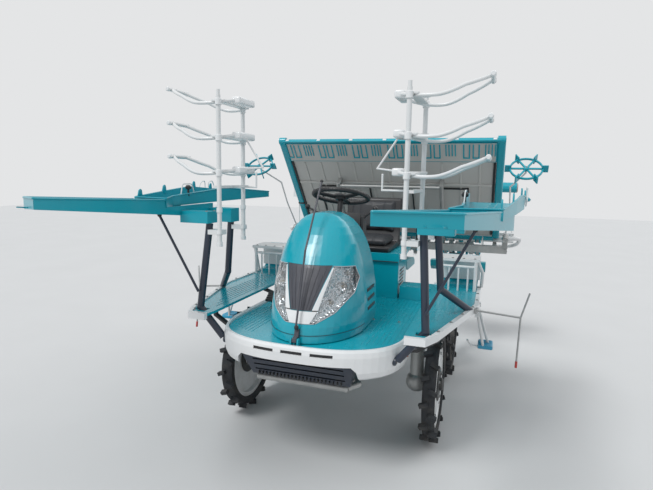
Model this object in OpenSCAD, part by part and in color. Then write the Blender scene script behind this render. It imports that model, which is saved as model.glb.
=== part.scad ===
/* [Layout] */
// Distance from front axle to rear axle
wheelbase = 1074; // [1040:1:1110]
// Half the track, from the centre line to a wheel's middle
half_track = 605; // [595:1:615]
// Distance between planted rows
row_pitch = 300; // [290:1:300]
// Shift that centres the whole machine on the origin
origin_shift = -279.1; // [-300:0.1:-240]

/* [Wheels] */
// Radius of a front wheel over its lugs
front_r = 325; // [310:1:330]
// Height of the lugs on a front tyre
front_lug = 24; // [18:1:28]
// Width of a front tyre over its lugs
front_w = 96; // [80:1:100]
// Number of lugs on a front tyre, both sides
front_lugs = 28; // [20:2:32]
// Radius of a rear wheel over its lugs
rear_r = 475; // [460:1:480]
// Height of the lugs on a rear tyre
rear_lug = 38; // [28:1:44]
// Width of a rear tyre over its lugs
rear_w = 92; // [76:1:100]
// Number of lugs on a rear tyre, both sides
rear_lugs = 28; // [20:2:32]
// Radius of the wheel shafts
shaft_r = 18; // [14:1:22]

/* [Body] */
// Height of the deck the rider stands on
deck_z = 700; // [695:1:720]
// Height of the side wings of the deck
wing_z = 790; // [780:1:800]
// Half width of the deck between its rims
deck_half = 484; // [470:1:488]
// Furthest half width of a side wing
wing_half = 800; // [780:1:820]
// Wall of the bonnet and other plastic panels
panel_wall = 8; // [6:1:12]
// Rise of the bonnet from its lower edge to its top
bonnet_rise = 618; // [600:1:630]
// Half width of the bonnet at its widest
bonnet_half = 262; // [250:1:268]
// Radius of the steering wheel
steer_r = 176; // [150:1:185]
// Lean of the steering column back from upright
steer_tilt = 16; // [12:0.5:22]

/* [Spare seedling carriers] */
// Radius of the dark posts
post_r = 19; // [16:1:22]
// Height of the rail's floor over the posts
rail_z = 1300; // [1280:1:1320]
// Radius of the white rack wires
rack_wire_r = 9; // [6:1:10]
// Height between the tiers of a rack
tier_step = 180; // [170:1:190]

/* [Lift links] */
// Length of the lower links between pins
link_len = 792; // [780:1:800]
// Angle of the links at rest, above level
link_angle = 24.6; // [20:0.1:26]
// Radius of the link pins
pin_r = 12; // [10:1:14]

/* [Planter] */
// Length of the seedling platform along its slope
platform_len = 1100; // [1060:1:1120]
// Slope of the seedling platform from level
platform_slope = 48.6; // [46:0.1:50]
// Reach of the planting claws from the rotor shaft
claw_reach = 150; // [146:1:150]
// Radius of the granule tube
tube_r = 45; // [38:1:50]
// Radius of a marker star wheel
star_r = 150; // [140:1:160]

/* [Hidden] */
$fn = 48;
fit = 0.05;
teal = [0.00, 0.62, 0.62];
white = [0.90, 0.90, 0.88];
navy = [0.16, 0.19, 0.27];
dark = [0.12, 0.12, 0.13];
metal = [0.62, 0.62, 0.60];
kingpin_x = 500;
kingpin_r = 25;
platform_half = 3 * row_pitch + 34;
guide_half = platform_half + 126;
gate_half = 26;
lip_half = 2.5 * row_pitch + gate_half;
lip_foot = -1;
axle_move = wheelbase - 1074;
wing_end = wheelbase - 474;
link_a = [0, 900, 600];
link_c = [0, 850, 905];
link_v = [0, link_len * cos(link_angle), link_len * sin(link_angle)];
link_b = link_a + link_v;
link_d = link_c + link_v;
bonnet_n = 13;
hinge_y = -690;
hinge_z = 728;
hinge_r = 5;
lever_angle = link_angle - 90;
lever_len = 180;
lever_e = link_a + [0, lever_len * cos(lever_angle), lever_len * sin(lever_angle)];
barrel_p = [0, 350, 452];
cyl_len = norm(lever_e - barrel_p);
roll_z = 915;
foot = [0, 1941, 992];
up = [0, -cos(platform_slope), sin(platform_slope)];
out = [0, sin(platform_slope), cos(platform_slope)];
rotor_y = 2060;
rotor_z = 885;
marker_p = [platform_half + 51, 1741, 1040];
star_p = [platform_half + 149, 1127, 1600];

// A round bar from a to b.
module rod(a, b, r) {
    v = b - a;
    l = norm(v);
    translate(a)
        rotate([0, acos(v[2] / l), atan2(v[1], v[0])])
            cylinder(r = r, h = l);
}

// A bent round bar through a list of points.
module wire(pts, r) {
    for (i = [0 : len(pts) - 2])
        rod(pts[i], pts[i + 1], r);
    for (i = [1 : len(pts) - 2]) {
        v = pts[i] - pts[i - 1];
        translate(pts[i])
            rotate([0, 0, atan2(v[1], v[0]) + 90])
                sphere(r = r * 1.04 + 0.3);
    }
}

// A block given by two corners.
module block(a, b) {
    translate(a)
        cube(b - a);
}

// The same shape on both sides of the machine.
module both() {
    children();
    mirror([1, 0, 0])
        children();
}

// A side profile of y and z points, made w wide about x.
module profile(pts, x0, x1) {
    translate([x0, 0, 0])
        rotate([90, 0, 90])
            linear_extrude(height = x1 - x0)
                polygon(pts);
}

// Everything sits in the machine's frame through this shift.
module placed() {
    translate([0, origin_shift, 0])
        children();
}

// Links and planter are drawn for the rear axle's usual place and move with it.
module behind() {
    translate([0, origin_shift + axle_move, 0])
        children();
}

// The frame of the seedling platform: x across, y up the slope, z off the face.
module on_slope() {
    translate(foot)
        rotate([180 - platform_slope, 0, 0])
            mirror([1, 0, 0])
                mirror([0, 0, 1])
                    children();
}

module chassis_frame() {
    color(dark)
        placed() {
            both()
                block([155, -520, 560], [205, 1010 + axle_move, 630]);
            // Tongues that carry the grille.
            both()
                block([160, -567.9, 565], [200, -519, 605]);
            for (y = [-500, -180, 420, 750])
                block([-160, y, 570], [160, y + 50, 620]);
            both()
                for (y = [-480, 0, 380, 740])
                    block([155, y, 630], [205, y + 40, deck_z - 26.3]);
            // Outriggers under the side wings, ahead of and behind the wheel.
            both()
                wire([[203, 420, 600], [600, 420, 655], [742, 420, 700], [742, 420, wing_z - 14.3]], 14);
            both()
                wire([[203, -350, 600], [540, -350, 636], [640, -350, 700],
                    [640, -350, wing_z - 14.3]], 14);
            translate([0, axle_move, 0]) {
                both()
                    block([200, 1030, 500], [240, 1110, 640]);
                both()
                    block([180, 990, 600], [240, 1060, 640]);
                both()
                    difference() {
                        profile([[830, 580], [940, 560], [940, 640], [900, 950],
                            [810, 950], [800, 640]], 131, 146);
                        for (p = [link_a, link_c])
                            translate([100, p[1], p[2]])
                                rotate([0, 90, 0])
                                    cylinder(r = pin_r + fit, h = 80);
                    }
                both()
                    block([140, 820, 606], [160, 884, 640]);
                difference() {
                    both()
                        block([32, 310, 428], [48, 390, 570]);
                    translate([-60, barrel_p[1], barrel_p[2]])
                        rotate([0, 90, 0])
                            cylinder(r = 10 + fit, h = 120);
                }
                block([-160, 330, 565], [160, 380, 600]);
            }
        }
}

module transmission_case() {
    color(metal)
        placed() {
            difference() {
                union() {
                    block([-130, -130, 360], [130, 200, 560]);
                    both()
                        rod([120, 0, 480], [462, 0, 575], 34);
                    both()
                        translate([kingpin_x, 0, 530])
                            cylinder(r = 44, h = 72);
                }
                both()
                    translate([kingpin_x, 0, 500])
                        cylinder(r = kingpin_r + fit, h = 120);
            }
            rod([0, 190, 380], [0, wheelbase - 75.3, 380], 16);
            wire([[-250, -575, 470], [230, -575, 470], [280, -520, 480], [180, -400, 543.9]], 17);
        }
}

module rear_axle_case() {
    color(metal)
        placed() {
            rod([-505, wheelbase, 440], [505, wheelbase, 440], 38);
            block([-80, wheelbase - 75, 375], [80, wheelbase + 85, 478]);
            both()
                translate([470, wheelbase, rear_r])
                    rotate([0, 90, 0])
                        cylinder(r = 92, h = 55);
            both()
                translate([520, wheelbase, rear_r])
                    rotate([0, 90, 0])
                        cylinder(r = shaft_r, h = 110);
            both()
                block([205, wheelbase - 34, 430], [235, wheelbase + 34, 500]);
        }
}

module engine_block() {
    color(dark)
        placed()
            block([-155, -455, 620.3], [155, -170, 980]);
}

// Where the front post passes through a wing's tip.
module post_hole() {
    block([562, -588, 740], [636, -534, 815]);
}

// Outline of the main deck, seen from above.
module deck_outline(e) {
    front = -330;
    reach = 386 + e;
    half = deck_half + e;
    polygon(concat([[-half, 440], [-half, front]],
        [for (a = [174 : -6 : 6]) [half * sign(cos(a)) * pow(abs(cos(a)), 0.76),
            front - reach * pow(sin(a), 0.76)]],
        [[half, front], [half, 440]]));
}

// Outline of a left wing, seen from above.
module wing_outline(e) {
    polygon([[522, -636 - e], [610 + e * 0.4, -636 - e], [640 + e, -560], [wing_half + e, 90],
        [wing_half + e, wing_end + e], [515, wing_end + e], [515, -560]]);
}

module deck() {
    color(teal)
        placed() {
            translate([0, 0, deck_z - 26])
                linear_extrude(height = 26)
                    difference() {
                        deck_outline(0);
                        polygon([[-190, -500], [190, -500], [190, -125], [-190, -125]]);
                    }
            block([-300, 440, deck_z - 26], [300, 790, deck_z]);
            both()
                difference() {
                    translate([0, 0, wing_z - 14])
                        linear_extrude(height = 14)
                            wing_outline(0);
                    post_hole();
                }
            both()
                block([300, 442, deck_z - 26], [517, wing_end, wing_z]);
            // Sloping fender in front of each rear wheel.
            both()
                translate([0, axle_move, 0])
                    profile([[560, 789], [600, 789], [600, 798.4], [640, 806], [700, 850],
                        [760, 985], [750, 990], [690, 862], [636, 818], [560, 812]], 545, 799.7);
            // Ears and pin that the bonnet tilts on.
            both()
                profile([[hinge_y - 14, deck_z - 1], [hinge_y + 14, deck_z - 1],
                    [hinge_y + 9, hinge_z + 9], [hinge_y - 9, hinge_z + 9]], 14, 22);
            rod([-22, hinge_y, hinge_z], [22, hinge_y, hinge_z], hinge_r);
        }
}

module deck_rim() {
    color(white)
        placed()
            difference() {
                union() {
                    // Bumper round the front of the deck, with a softly turned edge.
                    difference() {
                        hull()
                            for (k = [[712, 14], [700, 21], [676, 24], [600, 18], [572, 8], [560, -6]])
                                translate([0, 0, k[0] - 0.5])
                                    linear_extrude(height = 0.5)
                                        deck_outline(k[1]);
                        translate([0, 0, 664])
                            linear_extrude(height = 60)
                                deck_outline(1);
                        hull()
                            for (k = [[665, 14], [600, 9], [559, -12]])
                                translate([0, 0, k[0] - 0.5])
                                    linear_extrude(height = 0.5)
                                        deck_outline(k[1]);
                        block([-700, -380, 500], [700, 700, 760]);
                        rotate([90, 0, 0])
                            linear_extrude(height = 900)
                                polygon([[-322, 540], [-310, 606], [-286, 630], [286, 630],
                                    [310, 606], [322, 540]]);
                        for (x = [-150, 0, 150])
                            block([x - 55, -780, 672], [x + 55, -600, 688]);
                    }
                    translate([0, 0, 664])
                        linear_extrude(height = 48)
                            difference() {
                                deck_outline(24);
                                deck_outline(1);
                                translate([-600, -1000])
                                    square([1200, 619]);
                                translate([-600, 439])
                                    square([1200, 100]);
                            }
                    both() {
                        translate([0, 0, wing_z - 28])
                            linear_extrude(height = 36)
                                difference() {
                                    wing_outline(24);
                                    wing_outline(0.5);
                                    translate([500, -635])
                                        square([22, wing_end + 635]);
                                }
                        // Ears for the step's hinge pin.
                        for (y = [40, 292])
                            block([806, y, 735], [834, y + 18, 763]);
                    }
                }
                both() {
                    post_hole();
                    rod([300, -542, 633], [488, -542, 633], 21.5);
                    rod([478, -542, 642], [606, -560, 800], post_r + 1.5);
                    translate([478, -542, 642])
                        sphere(r = 22);
                    rod([820, 30, 750], [820, 320, 750], 5 + fit);
                }
            }
}

module front_grille() {
    color(navy)
        placed()
            difference() {
                intersection() {
                    profile([[-668, 640], [-672, 612], [-612, 498], [-575, 498], [-566, 640]],
                        -320, 320);
                    rotate([90, 0, 0])
                        translate([0, 0, 300])
                            linear_extrude(height = 500)
                                polygon([[-300, 640], [-262, 498], [262, 498], [300, 640]]);
                }
                for (z = [528, 560, 592])
                    block([-240, -700, z], [240, -612 + (528 - z) * 0.35, z + 8]);
            }
}

module dash_panel() {
    color(dark)
        placed() {
            difference() {
                profile([[-70, deck_z + 0.3], [40, deck_z + 0.3], [30, 1120], [10, 1240], [-60, 1290], [-72, 1200]],
                    -165, 165);
                on_column()
                    cylinder(r = 16 + fit, h = 300);
            }
            // Levers beside the column.
            wire([[110, 0, 1225], [160, 15, 1290], [212, 30, 1330]], 7);
            translate([212, 30, 1330])
                sphere(r = 18);
            wire([[-110, 0, 1225], [-150, 20, 1300], [-215, 30, 1330]], 6);
            translate([-215, 30, 1330])
                sphere(r = 16);
            // Pedals on the deck.
            for (x = [-400, -335]) {
                block([x - 12, -72, deck_z + 0.3], [x + 12, -40, deck_z + 14]);
                rod([x, -56, 706], [x, -100, 770], 7);
                translate([x, -104, 772])
                    rotate([35, 0, 0])
                        cube([48, 70, 10], center = true);
            }
            // Battery box beside the pedestal.
            block([-470, 250, 700.5], [-320, 420, 840]);
        }
}

// The steering column's frame: z runs up the column.
module on_column() {
    translate([0, -30, 1200])
        rotate([-steer_tilt, 0, 0])
            children();
}

module steering_wheel() {
    color(dark)
        placed()
            on_column() {
                translate([0, 0, 20])
                    cylinder(r = 16, h = 178);
                translate([0, 0, 184])
                    cylinder(r1 = 32, r2 = 40, h = 20);
                translate([0, 0, 208])
                    rotate_extrude()
                        translate([steer_r - 13, 0])
                            circle(r = 13);
                for (a = [0, 120, 240])
                    rotate([0, 0, a + 90])
                        rod([25, 0, 195], [steer_r - 14, 0, 207], 8);
            }
}

module seat_pedestal() {
    color(teal)
        placed() {
            profile([[450, 700.3], [470, 1005], [960, 1005], [960, 975], [780, 960], [780, 700.3]],
                -285, 285);
        }
}

module seat() {
    color(dark)
        placed() {
            union() {
                profile([[470, 1005.3], [462, 1090], [490, 1112], [830, 1095], [880, 1300],
                    [900, 1370], [940, 1370], [950, 1340], [900, 1005.3]], -215, 215);
            }
        }
}

module rear_guard() {
    color(white)
        behind()
            both() {
                block([548, 452, 984], [812, 655, 1002]);
                wire([[562, 462, wing_z + 0.2], [562, 462, 984]], 11);
                wire([[786, 462, wing_z + 0.2], [786, 462, 984]], 11);
                for (x = [620, 680, 740])
                    rod([x, 462, 950], [x, 462, wing_z + 0.2], 6);
                rod([562, 462, 950], [786, 462, 950], 9);
                wire([[800, 470, 985], [830, 560, 900], [826, 585, wing_z + 11.2]], 11);
                block([548, 640, 835], [812, 652, 984]);
            }
}

// The two posts of one side.
module post_shape(r) {
    wire([[478, -542, 642], [606, -560, 800], [572, -512, rail_z - 45.4]], r);
    wire([[792, -19, wing_z - 11], [634, -216, 935], [609, -222, rail_z - 62.2]], r);
}

module rail_posts() {
    color(navy)
        placed() {
            both() {
                difference() {
                    post_shape(post_r);
                    block([680, -160, 700], [900, 60, wing_z + 8.4]);
                }
                rod([806, -628, rail_z - 3.2], [604, -582, 890], 7);
            }
            rod([-470, -542, 633], [470, -542, 633], 20);
            both()
                block([205.2, -530, 600], [230, -500, 640]);
        }
}

// Plan of the front run of a rail, drawn in by e: a strip that widens away from the nose.
module front_run(e) {
    polygon([[573 + e, -1584 + e * 2.1], [800 - e, -1430 + e * 0.6], [961 - e, -311],
        [974 - e, -208], [738 + e, -208], [700 + e, -714]]);
}

// Plan of the rear run, which overlaps the front one.
module rear_run(e) {
    polygon([[694 + e, -716 + e], [912 - e, -690 + e], [978 - e, -300], [1034 - e, 120],
        [1048 - e, 420], [1040 - e, 524], [716 + e, 532], [742 + e, -50], [742 + e, -598]]);
}

// A tray: a plan outline cut to a side profile, hollowed from above and open at the rear.
module tray(floor_pts, top_pts, wall) {
    difference() {
        intersection() {
            translate([0, 0, 1200])
                linear_extrude(height = 300)
                    children(0);
            profile(concat(floor_pts, top_pts), 500, 1100);
        }
        intersection() {
            translate([0, 0, 1200])
                linear_extrude(height = 300)
                    children(1);
            profile([[floor_pts[0][0], floor_pts[0][1] + wall], [floor_pts[1][0], floor_pts[1][1] + wall],
                [floor_pts[1][0], 1600], [floor_pts[0][0], 1600]], 500, 1100);
        }
    }
}

module seedling_rails() {
    color(teal)
        placed()
            both() {
                difference() {
                    tray([[-1600, rail_z + 88], [-200, rail_z - 38]],
                            [[-200, rail_z + 60], [-1600, rail_z + 127]], 6) {
                        front_run(0);
                        union() {
                            front_run(7);
                            translate([745, -240])
                                square([222, 50]);
                        }
                    }
                    // Room for the rear run, which lies over this one.
                    block([500, -708, rail_z + 47], [1100, -100, rail_z + 200]);
                }
                tray([[-720, rail_z + 44], [560, rail_z + 62]],
                        [[560, rail_z + 101], [-50, rail_z + 138], [-720, rail_z + 92]], 6) {
                    rear_run(0);
                    union() {
                        rear_run(7);
                        translate([724, 490])
                            square([308, 60]);
                    }
                }
                // Brackets on the posts.
                block([548, -572, rail_z - 42], [716, -470, rail_z + 20]);
                block([584, -262, rail_z - 60], [741, -166, rail_z + 20]);
            }
}

// Inner cap that holds the two wires of a tier.
module tier_cap(z) {
    block([405, -476, z - 14], [452, -310, z + 16]);
}

// One tier of a rack: a bar between the posts and two wires that spread, then meet at a raised tip.
module tier(z) {
    function wire_at(t, s) = [425 + 418 * t, -393 + s * (40 + 118 * pow(sin(180 * pow(t, 0.75)), 0.7)),
        z + 2 - 22 * sin(180 * min(1, t * 1.4)) + 74 * pow(max(0, t - 0.45) / 0.55, 1.6)];
    for (s = [-1, 1])
        wire([for (i = [0 : 7]) wire_at(i / 7, s)], rack_wire_r);
    rod([838, -480, z + 72], [838, -306, z + 72], rack_wire_r + 2);
    tier_cap(z);
    block([446, -402, z - 6], [560, -384, z + 6]);
    block([478, -552, z - 14], [529, -234, z - 2]);
}

module spare_racks() {
    color(white)
        placed()
            both()
                difference() {
                    union() {
                        rod([488, -552, 1140], [488, -552, 1918], 12);
                        rod([488, -552, 1900], [488, -552, 1945], 9.5);
                        rod([519, -234, 1148], [519, -234, 1918], 12);
                        block([478, -562, 1200], [554.8, -500, 1225]);
                        block([509, -248, 1200], [590.7, -210, 1225]);
                        block([484, -552, 1444], [524, -234, 1458]);
                        // Carrying loops on the inner side.
                        wire([[420, -393, 1718], [314, -393, 1558], [420, -393, 1545]], 5);
                        wire([[420, -410, 1532], [345, -410, 1528], [345, -410, 1452],
                            [500, -410, 1452]], 5);
                    }
                    for (i = [0 : 2])
                        tier_cap(1900 - i * tier_step);
                }
}

module rack_tiers() {
    color(white)
        placed()
            both()
                difference() {
                    union()
                        for (i = [0 : 2])
                            tier(1900 - i * tier_step);
                    // Bores that slide over the two posts.
                    rod([488, -552, 1400], [488, -552, 1950], 12.06);
                    rod([519, -234, 1400], [519, -234, 1950], 12.06);
                }
}

module step_shape() {
    wire([[821, 100, 748], [862, 190, 518]], 8);
    wire([[821, 250, 748], [892, 240, 518]], 8);
    block([832, 180, 506], [916, 290, 530]);
    rod([820, 60, 750], [820, 290, 750], 10.5);
    rod([820, 42, 750], [820, 309, 750], 5);
    wire([[840, 200, 515], [790, 190, 522], [770, 160, 560]], 6);
}

module step_left() {
    color(white)
        placed()
            step_shape();
}

module step_right() {
    color(white)
        placed()
            mirror([1, 0, 0])
                step_shape();
}

module side_markers() {
    color(metal)
        placed()
            both() {
                translate([0, 0, 766])
                    linear_extrude(height = 28)
                        polygon([[802.3, 0], [812.2, 40], [826, 38], [816, -2]]);
                rod([815, 20, 781], [1056, 120, 738], 6);
                wire([[1100, 180, 870], [1056, 120, 738], [1045, 60, 465]], 5);
            }
}

// Half width and depth of the bonnet ahead of its shoulder at a share h of its rise.
function bonnet_w(h) = bonnet_half * pow(1 - pow(h, 2.2), 0.38) * (h < 0.12 ? 0.96 + h / 3 : 1);
function bonnet_d(h) = 362 * pow(1 - pow(h, 1.35), 0.72);

// Solid form of the bonnet, drawn in by e.
module bonnet_form(e) {
    hull()
        for (i = [0 : bonnet_n]) {
            h = sin(90 * i / bonnet_n);
            w = max(10, bonnet_w(h) - e);
            d = max(10, bonnet_d(h) - e);
            translate([0, -300, 704 + (bonnet_rise - e) * h])
                linear_extrude(height = 0.5)
                    union() {
                        intersection() {
                            scale([w / 100, d / 100])
                                circle(r = 100);
                            translate([-400, -600])
                                square([800, 600]);
                        }
                        translate([-w, -0.5])
                            square([2 * w, 215 - 70 * pow(h, 5)]);
                    }
        }
}

// Front outline of the two lamps and the pale band that joins them.
module lamp_outline(e) {
    polygon([[126 - e, 1066 + e], [212 + e, 1058 + e], [232 + e, 1000], [224 + e, 930],
        [160 + e, 845 - e], [75, 796 - e], [-75, 796 - e], [-160 - e, 845 - e],
        [-224 - e, 930], [-232 - e, 1000], [-212 - e, 1058 + e], [-126 + e, 1066 + e],
        [-56 + e, 856 + e], [56 - e, 856 + e]]);
}

module badge_outline(e) {
    polygon([[-122 - e, 1070 + e], [122 + e, 1070 + e], [55 + e, 858 - e], [-55 - e, 858 - e]]);
}

module from_front() {
    translate([0, -300, 0])
        rotate([90, 0, 0])
            linear_extrude(height = 500)
                children();
}

module bonnet() {
    color(teal)
        placed()
            difference() {
                bonnet_form(0);
                translate([0, 0, -1])
                    bonnet_form(panel_wall);
                from_front()
                    lamp_outline(0.3);
                from_front()
                    badge_outline(0.3);
                for (z = [800, 850, 900])
                    block([-400, -280, z], [400, -130, z + 18]);
            }
}

module headlamps() {
    color([0.85, 0.87, 0.9])
        placed()
            intersection() {
                difference() {
                    bonnet_form(1);
                    bonnet_form(panel_wall);
                }
                from_front()
                    difference() {
                        lamp_outline(0);
                        badge_outline(0.4);
                    }
            }
}

module bonnet_trim() {
    color([0.25, 0.25, 0.27])
        placed() {
            intersection() {
                difference() {
                    bonnet_form(1);
                    bonnet_form(panel_wall);
                }
                from_front()
                    badge_outline(0);
            }
            // Foot at the nose: hinge lug below, centre marker above.
            difference() {
                profile([[hinge_y - 12, hinge_z - 8], [hinge_y, hinge_z - 11], [-640, 716], [-640, 772],
                    [-664, 774], [-672, 744], [hinge_y - 9, hinge_z + 10]], -11, 11);
                bonnet_form(-0.3);
                rod([-20, hinge_y, hinge_z], [20, hinge_y, hinge_z], hinge_r + fit);
            }
            // Slim centre marker that leans back over the bonnet.
            wire([[0, -666, 768], [0, -672, 800], [0, -560, 1150], [0, -330, 1490]], 5);
        }
}

module knuckle_shape() {
    translate([kingpin_x, 0, 505])
        cylinder(r = kingpin_r, h = 100);
    translate([kingpin_x, 0, 602.4])
        cylinder(r = 28, h = 12);
    translate([kingpin_x, 0, 300])
        cylinder(r = 40, h = 229);
    translate([kingpin_x, 0, front_r])
        sphere(r = 62);
    translate([kingpin_x, 0, front_r])
        rotate([0, 90, 0])
            cylinder(r = 40, h = 72);
    translate([kingpin_x, 0, front_r])
        rotate([0, 90, 0])
            cylinder(r = shaft_r, h = 130);
    rod([kingpin_x, 0, 500], [kingpin_x - 30, 130, 500], 12);
}

module knuckle_left() {
    color(metal)
        placed()
            knuckle_shape();
}

module knuckle_right() {
    color(metal)
        placed()
            mirror([1, 0, 0])
                knuckle_shape();
}

// A tyre about the x axis with slanted lugs on alternate sides.
module tyre(r, lug, w, n, depth) {
    rotate([0, 90, 0])
        rotate_extrude()
            polygon([[r - lug - depth, -w * 0.32], [r - lug - 6, -w * 0.36], [r - lug, -w * 0.22],
                [r - lug, w * 0.22], [r - lug - 6, w * 0.36], [r - lug - depth, w * 0.32]]);
    for (i = [0 : n - 1])
        rotate([i * 360 / n, 0, 0])
            translate([(i % 2 == 0 ? 1 : -1) * w * 0.24, 0, r - lug / 2 - 2])
                rotate([0, 0, (i % 2 == 0 ? -22 : 22)])
                    cube([w * 0.5, 22, lug + 4], center = true);
}

module front_tyre_left() {
    color(dark)
        placed()
            translate([half_track, 0, front_r])
                tyre(front_r, front_lug, front_w, front_lugs, 48);
}

module front_tyre_right() {
    color(dark)
        placed()
            translate([-half_track, 0, front_r])
                tyre(front_r, front_lug, front_w, front_lugs, 48);
}

// A dished steel disc with an open middle round its hub.
module disc_shape() {
    rotate([0, 90, 0])
        difference() {
            union() {
                rotate_extrude()
                    polygon([[58, 8], [130, 14], [225, 2], [228, -22], [253, -22], [253, 22],
                        [232, 22], [226, 12], [130, 24], [58, 18]]);
                cylinder(r = 40, h = 30, center = true);
                for (a = [0 : 60 : 300])
                    rotate([0, 0, a])
                        translate([30, -9, 0])
                            cube([40, 18, 12]);
            }
            cylinder(r = shaft_r + fit, h = 100, center = true);
        }
}

module front_disc_left() {
    color(white)
        placed()
            translate([half_track, 0, front_r])
                disc_shape();
}

module front_disc_right() {
    color(white)
        placed()
            translate([-half_track, 0, front_r])
                mirror([1, 0, 0])
                    disc_shape();
}

module rear_tyre_left() {
    color(dark)
        placed()
            translate([half_track, wheelbase, rear_r])
                tyre(rear_r, rear_lug, rear_w, rear_lugs, 34);
}

module rear_tyre_right() {
    color(dark)
        placed()
            translate([-half_track, wheelbase, rear_r])
                tyre(rear_r, rear_lug, rear_w, rear_lugs, 34);
}

// Thin rim with bent spokes to a hub that runs on the shaft.
module rim_shape() {
    rotate([0, 90, 0])
        difference() {
            union() {
                rotate_extrude()
                    polygon([[390, -20], [403, -20], [403, 20], [390, 20]]);
                translate([0, 0, -45])
                    cylinder(r = 42, h = 62);
                for (a = [0 : 60 : 300])
                    rotate([0, 0, a])
                        rod([36, 0, -14], [394, 0, 6], 13);
            }
            translate([0, 0, -60])
                cylinder(r = shaft_r + fit, h = 100);
        }
}

module rear_rim_left() {
    color(white)
        placed()
            translate([half_track, wheelbase, rear_r])
                rim_shape();
}

module rear_rim_right() {
    color(white)
        placed()
            translate([-half_track, wheelbase, rear_r])
                mirror([1, 0, 0])
                    rim_shape();
}

module lower_links() {
    color(navy)
        behind() {
            both() {
                difference() {
                    union() {
                        rod(link_a + [112, 0, 0], link_b + [112, 0, 0], 17);
                        for (p = [link_a, link_b])
                            translate(p + [100, 0, 0])
                                rotate([0, 90, 0])
                                    cylinder(r = 26, h = 24);
                    }
                    for (p = [link_a, link_b])
                        translate(p + [90, 0, 0])
                            rotate([0, 90, 0])
                                cylinder(r = pin_r, h = 36);
                }
                translate(link_a + [100, 0, 0])
                    rotate([0, 90, 0])
                        cylinder(r = pin_r, h = 52);
                translate(link_b + [70, 0, 0])
                    rotate([0, 90, 0])
                        cylinder(r = pin_r, h = 54);
            }
            // Cross tube and the lever that the cylinder pushes.
            rod(link_a + [-102, 0, 0], link_a + [102, 0, 0], 20);
            for (x = [-32, 22])
                hull() {
                    translate(link_a + [x, 0, 0])
                        rotate([0, 90, 0])
                            cylinder(r = 28, h = 10, $fn = 32);
                    translate(lever_e + [x, 0, 0])
                        rotate([0, 90, 0])
                            cylinder(r = 18, h = 10, $fn = 32);
                }
            rod(link_a + link_v * 0.55 + [-102, 0, 0], link_a + link_v * 0.55 + [102, 0, 0], 14);
        }
}

module upper_link() {
    color(navy)
        behind() {
            rod(link_c, link_d, 17);
            for (p = [link_c, link_d])
                translate(p + [-30, 0, 0])
                    rotate([0, 90, 0])
                        cylinder(r = 26, h = 60);
            translate(link_c + [-150, 0, 0])
                rotate([0, 90, 0])
                    cylinder(r = pin_r, h = 300);
            translate(link_d + [-56, 0, 0])
                rotate([0, 90, 0])
                    cylinder(r = pin_r, h = 112);
        }
}

module hitch_frame() {
    color(navy)
        behind() {
            difference() {
                union() {
                    both()
                        profile([[link_b[1] - 35, link_b[2] - 35], [link_b[1] + 40, link_b[2] - 35],
                            [link_d[1] + 62, link_d[2] + 30], [link_d[1] - 25, link_d[2] + 30]],
                            40, 54);
                    both()
                        block([50, link_b[1] - 32, link_b[2] - 32], [92, link_b[1] + 34, link_b[2] + 30]);
                    block([-54, link_b[1] + 24, roll_z - 40], [54, link_b[1] + 38, 1150]);
                    translate([0, link_b[1] + 30, roll_z])
                        rotate([-90, 0, 0])
                            cylinder(r = 34, h = 26);
                    translate([0, link_b[1] + 30, roll_z])
                        rotate([-90, 0, 0])
                            cylinder(r = 20, h = 110);
                }
                for (p = [link_b, link_d])
                    translate(p + [-200, 0, 0])
                        rotate([0, 90, 0])
                            cylinder(r = pin_r + fit, h = 400);
            }
        }
}

// Barrel and rod lie along the line from the frame pin to the lever's eye.
module along_cylinder() {
    v = lever_e - barrel_p;
    translate(barrel_p)
        rotate([-acos(v[2] / norm(v)), 0, 0])
            children();
}

module lift_barrel() {
    color(metal)
        behind()
            difference() {
                union() {
                    along_cylinder()
                        translate([0, 0, 15])
                            cylinder(r = 25, h = 385);
                    translate(barrel_p + [-26, 0, 0])
                        rotate([0, 90, 0])
                            cylinder(r = 22, h = 52);
                    translate(barrel_p + [-50, 0, 0])
                        rotate([0, 90, 0])
                            cylinder(r = 10, h = 100);
                }
                along_cylinder()
                    translate([0, 0, 50])
                        cylinder(r = 11 + fit, h = 400);
            }
}

module lift_rod() {
    color([0.8, 0.8, 0.8])
        behind() {
            along_cylinder()
                translate([0, 0, 215])
                    cylinder(r = 11, h = cyl_len - 215);
            translate(lever_e + [-16, 0, 0])
                rotate([0, 90, 0])
                    cylinder(r = 17, h = 32);
        }
}

module gear_case(c) {
    translate([c, 0, 0]) {
        profile([[1830, 870], [1990, 850], [2060, 838], [2110, 850], [2138, 885],
            [2110, 930], [2050, 945], [1960, 935], [1830, 930]], -32, 32);
        translate([-44, rotor_y, rotor_z])
            rotate([0, 90, 0])
                cylinder(r = 52, h = 88);
    }
}

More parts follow.
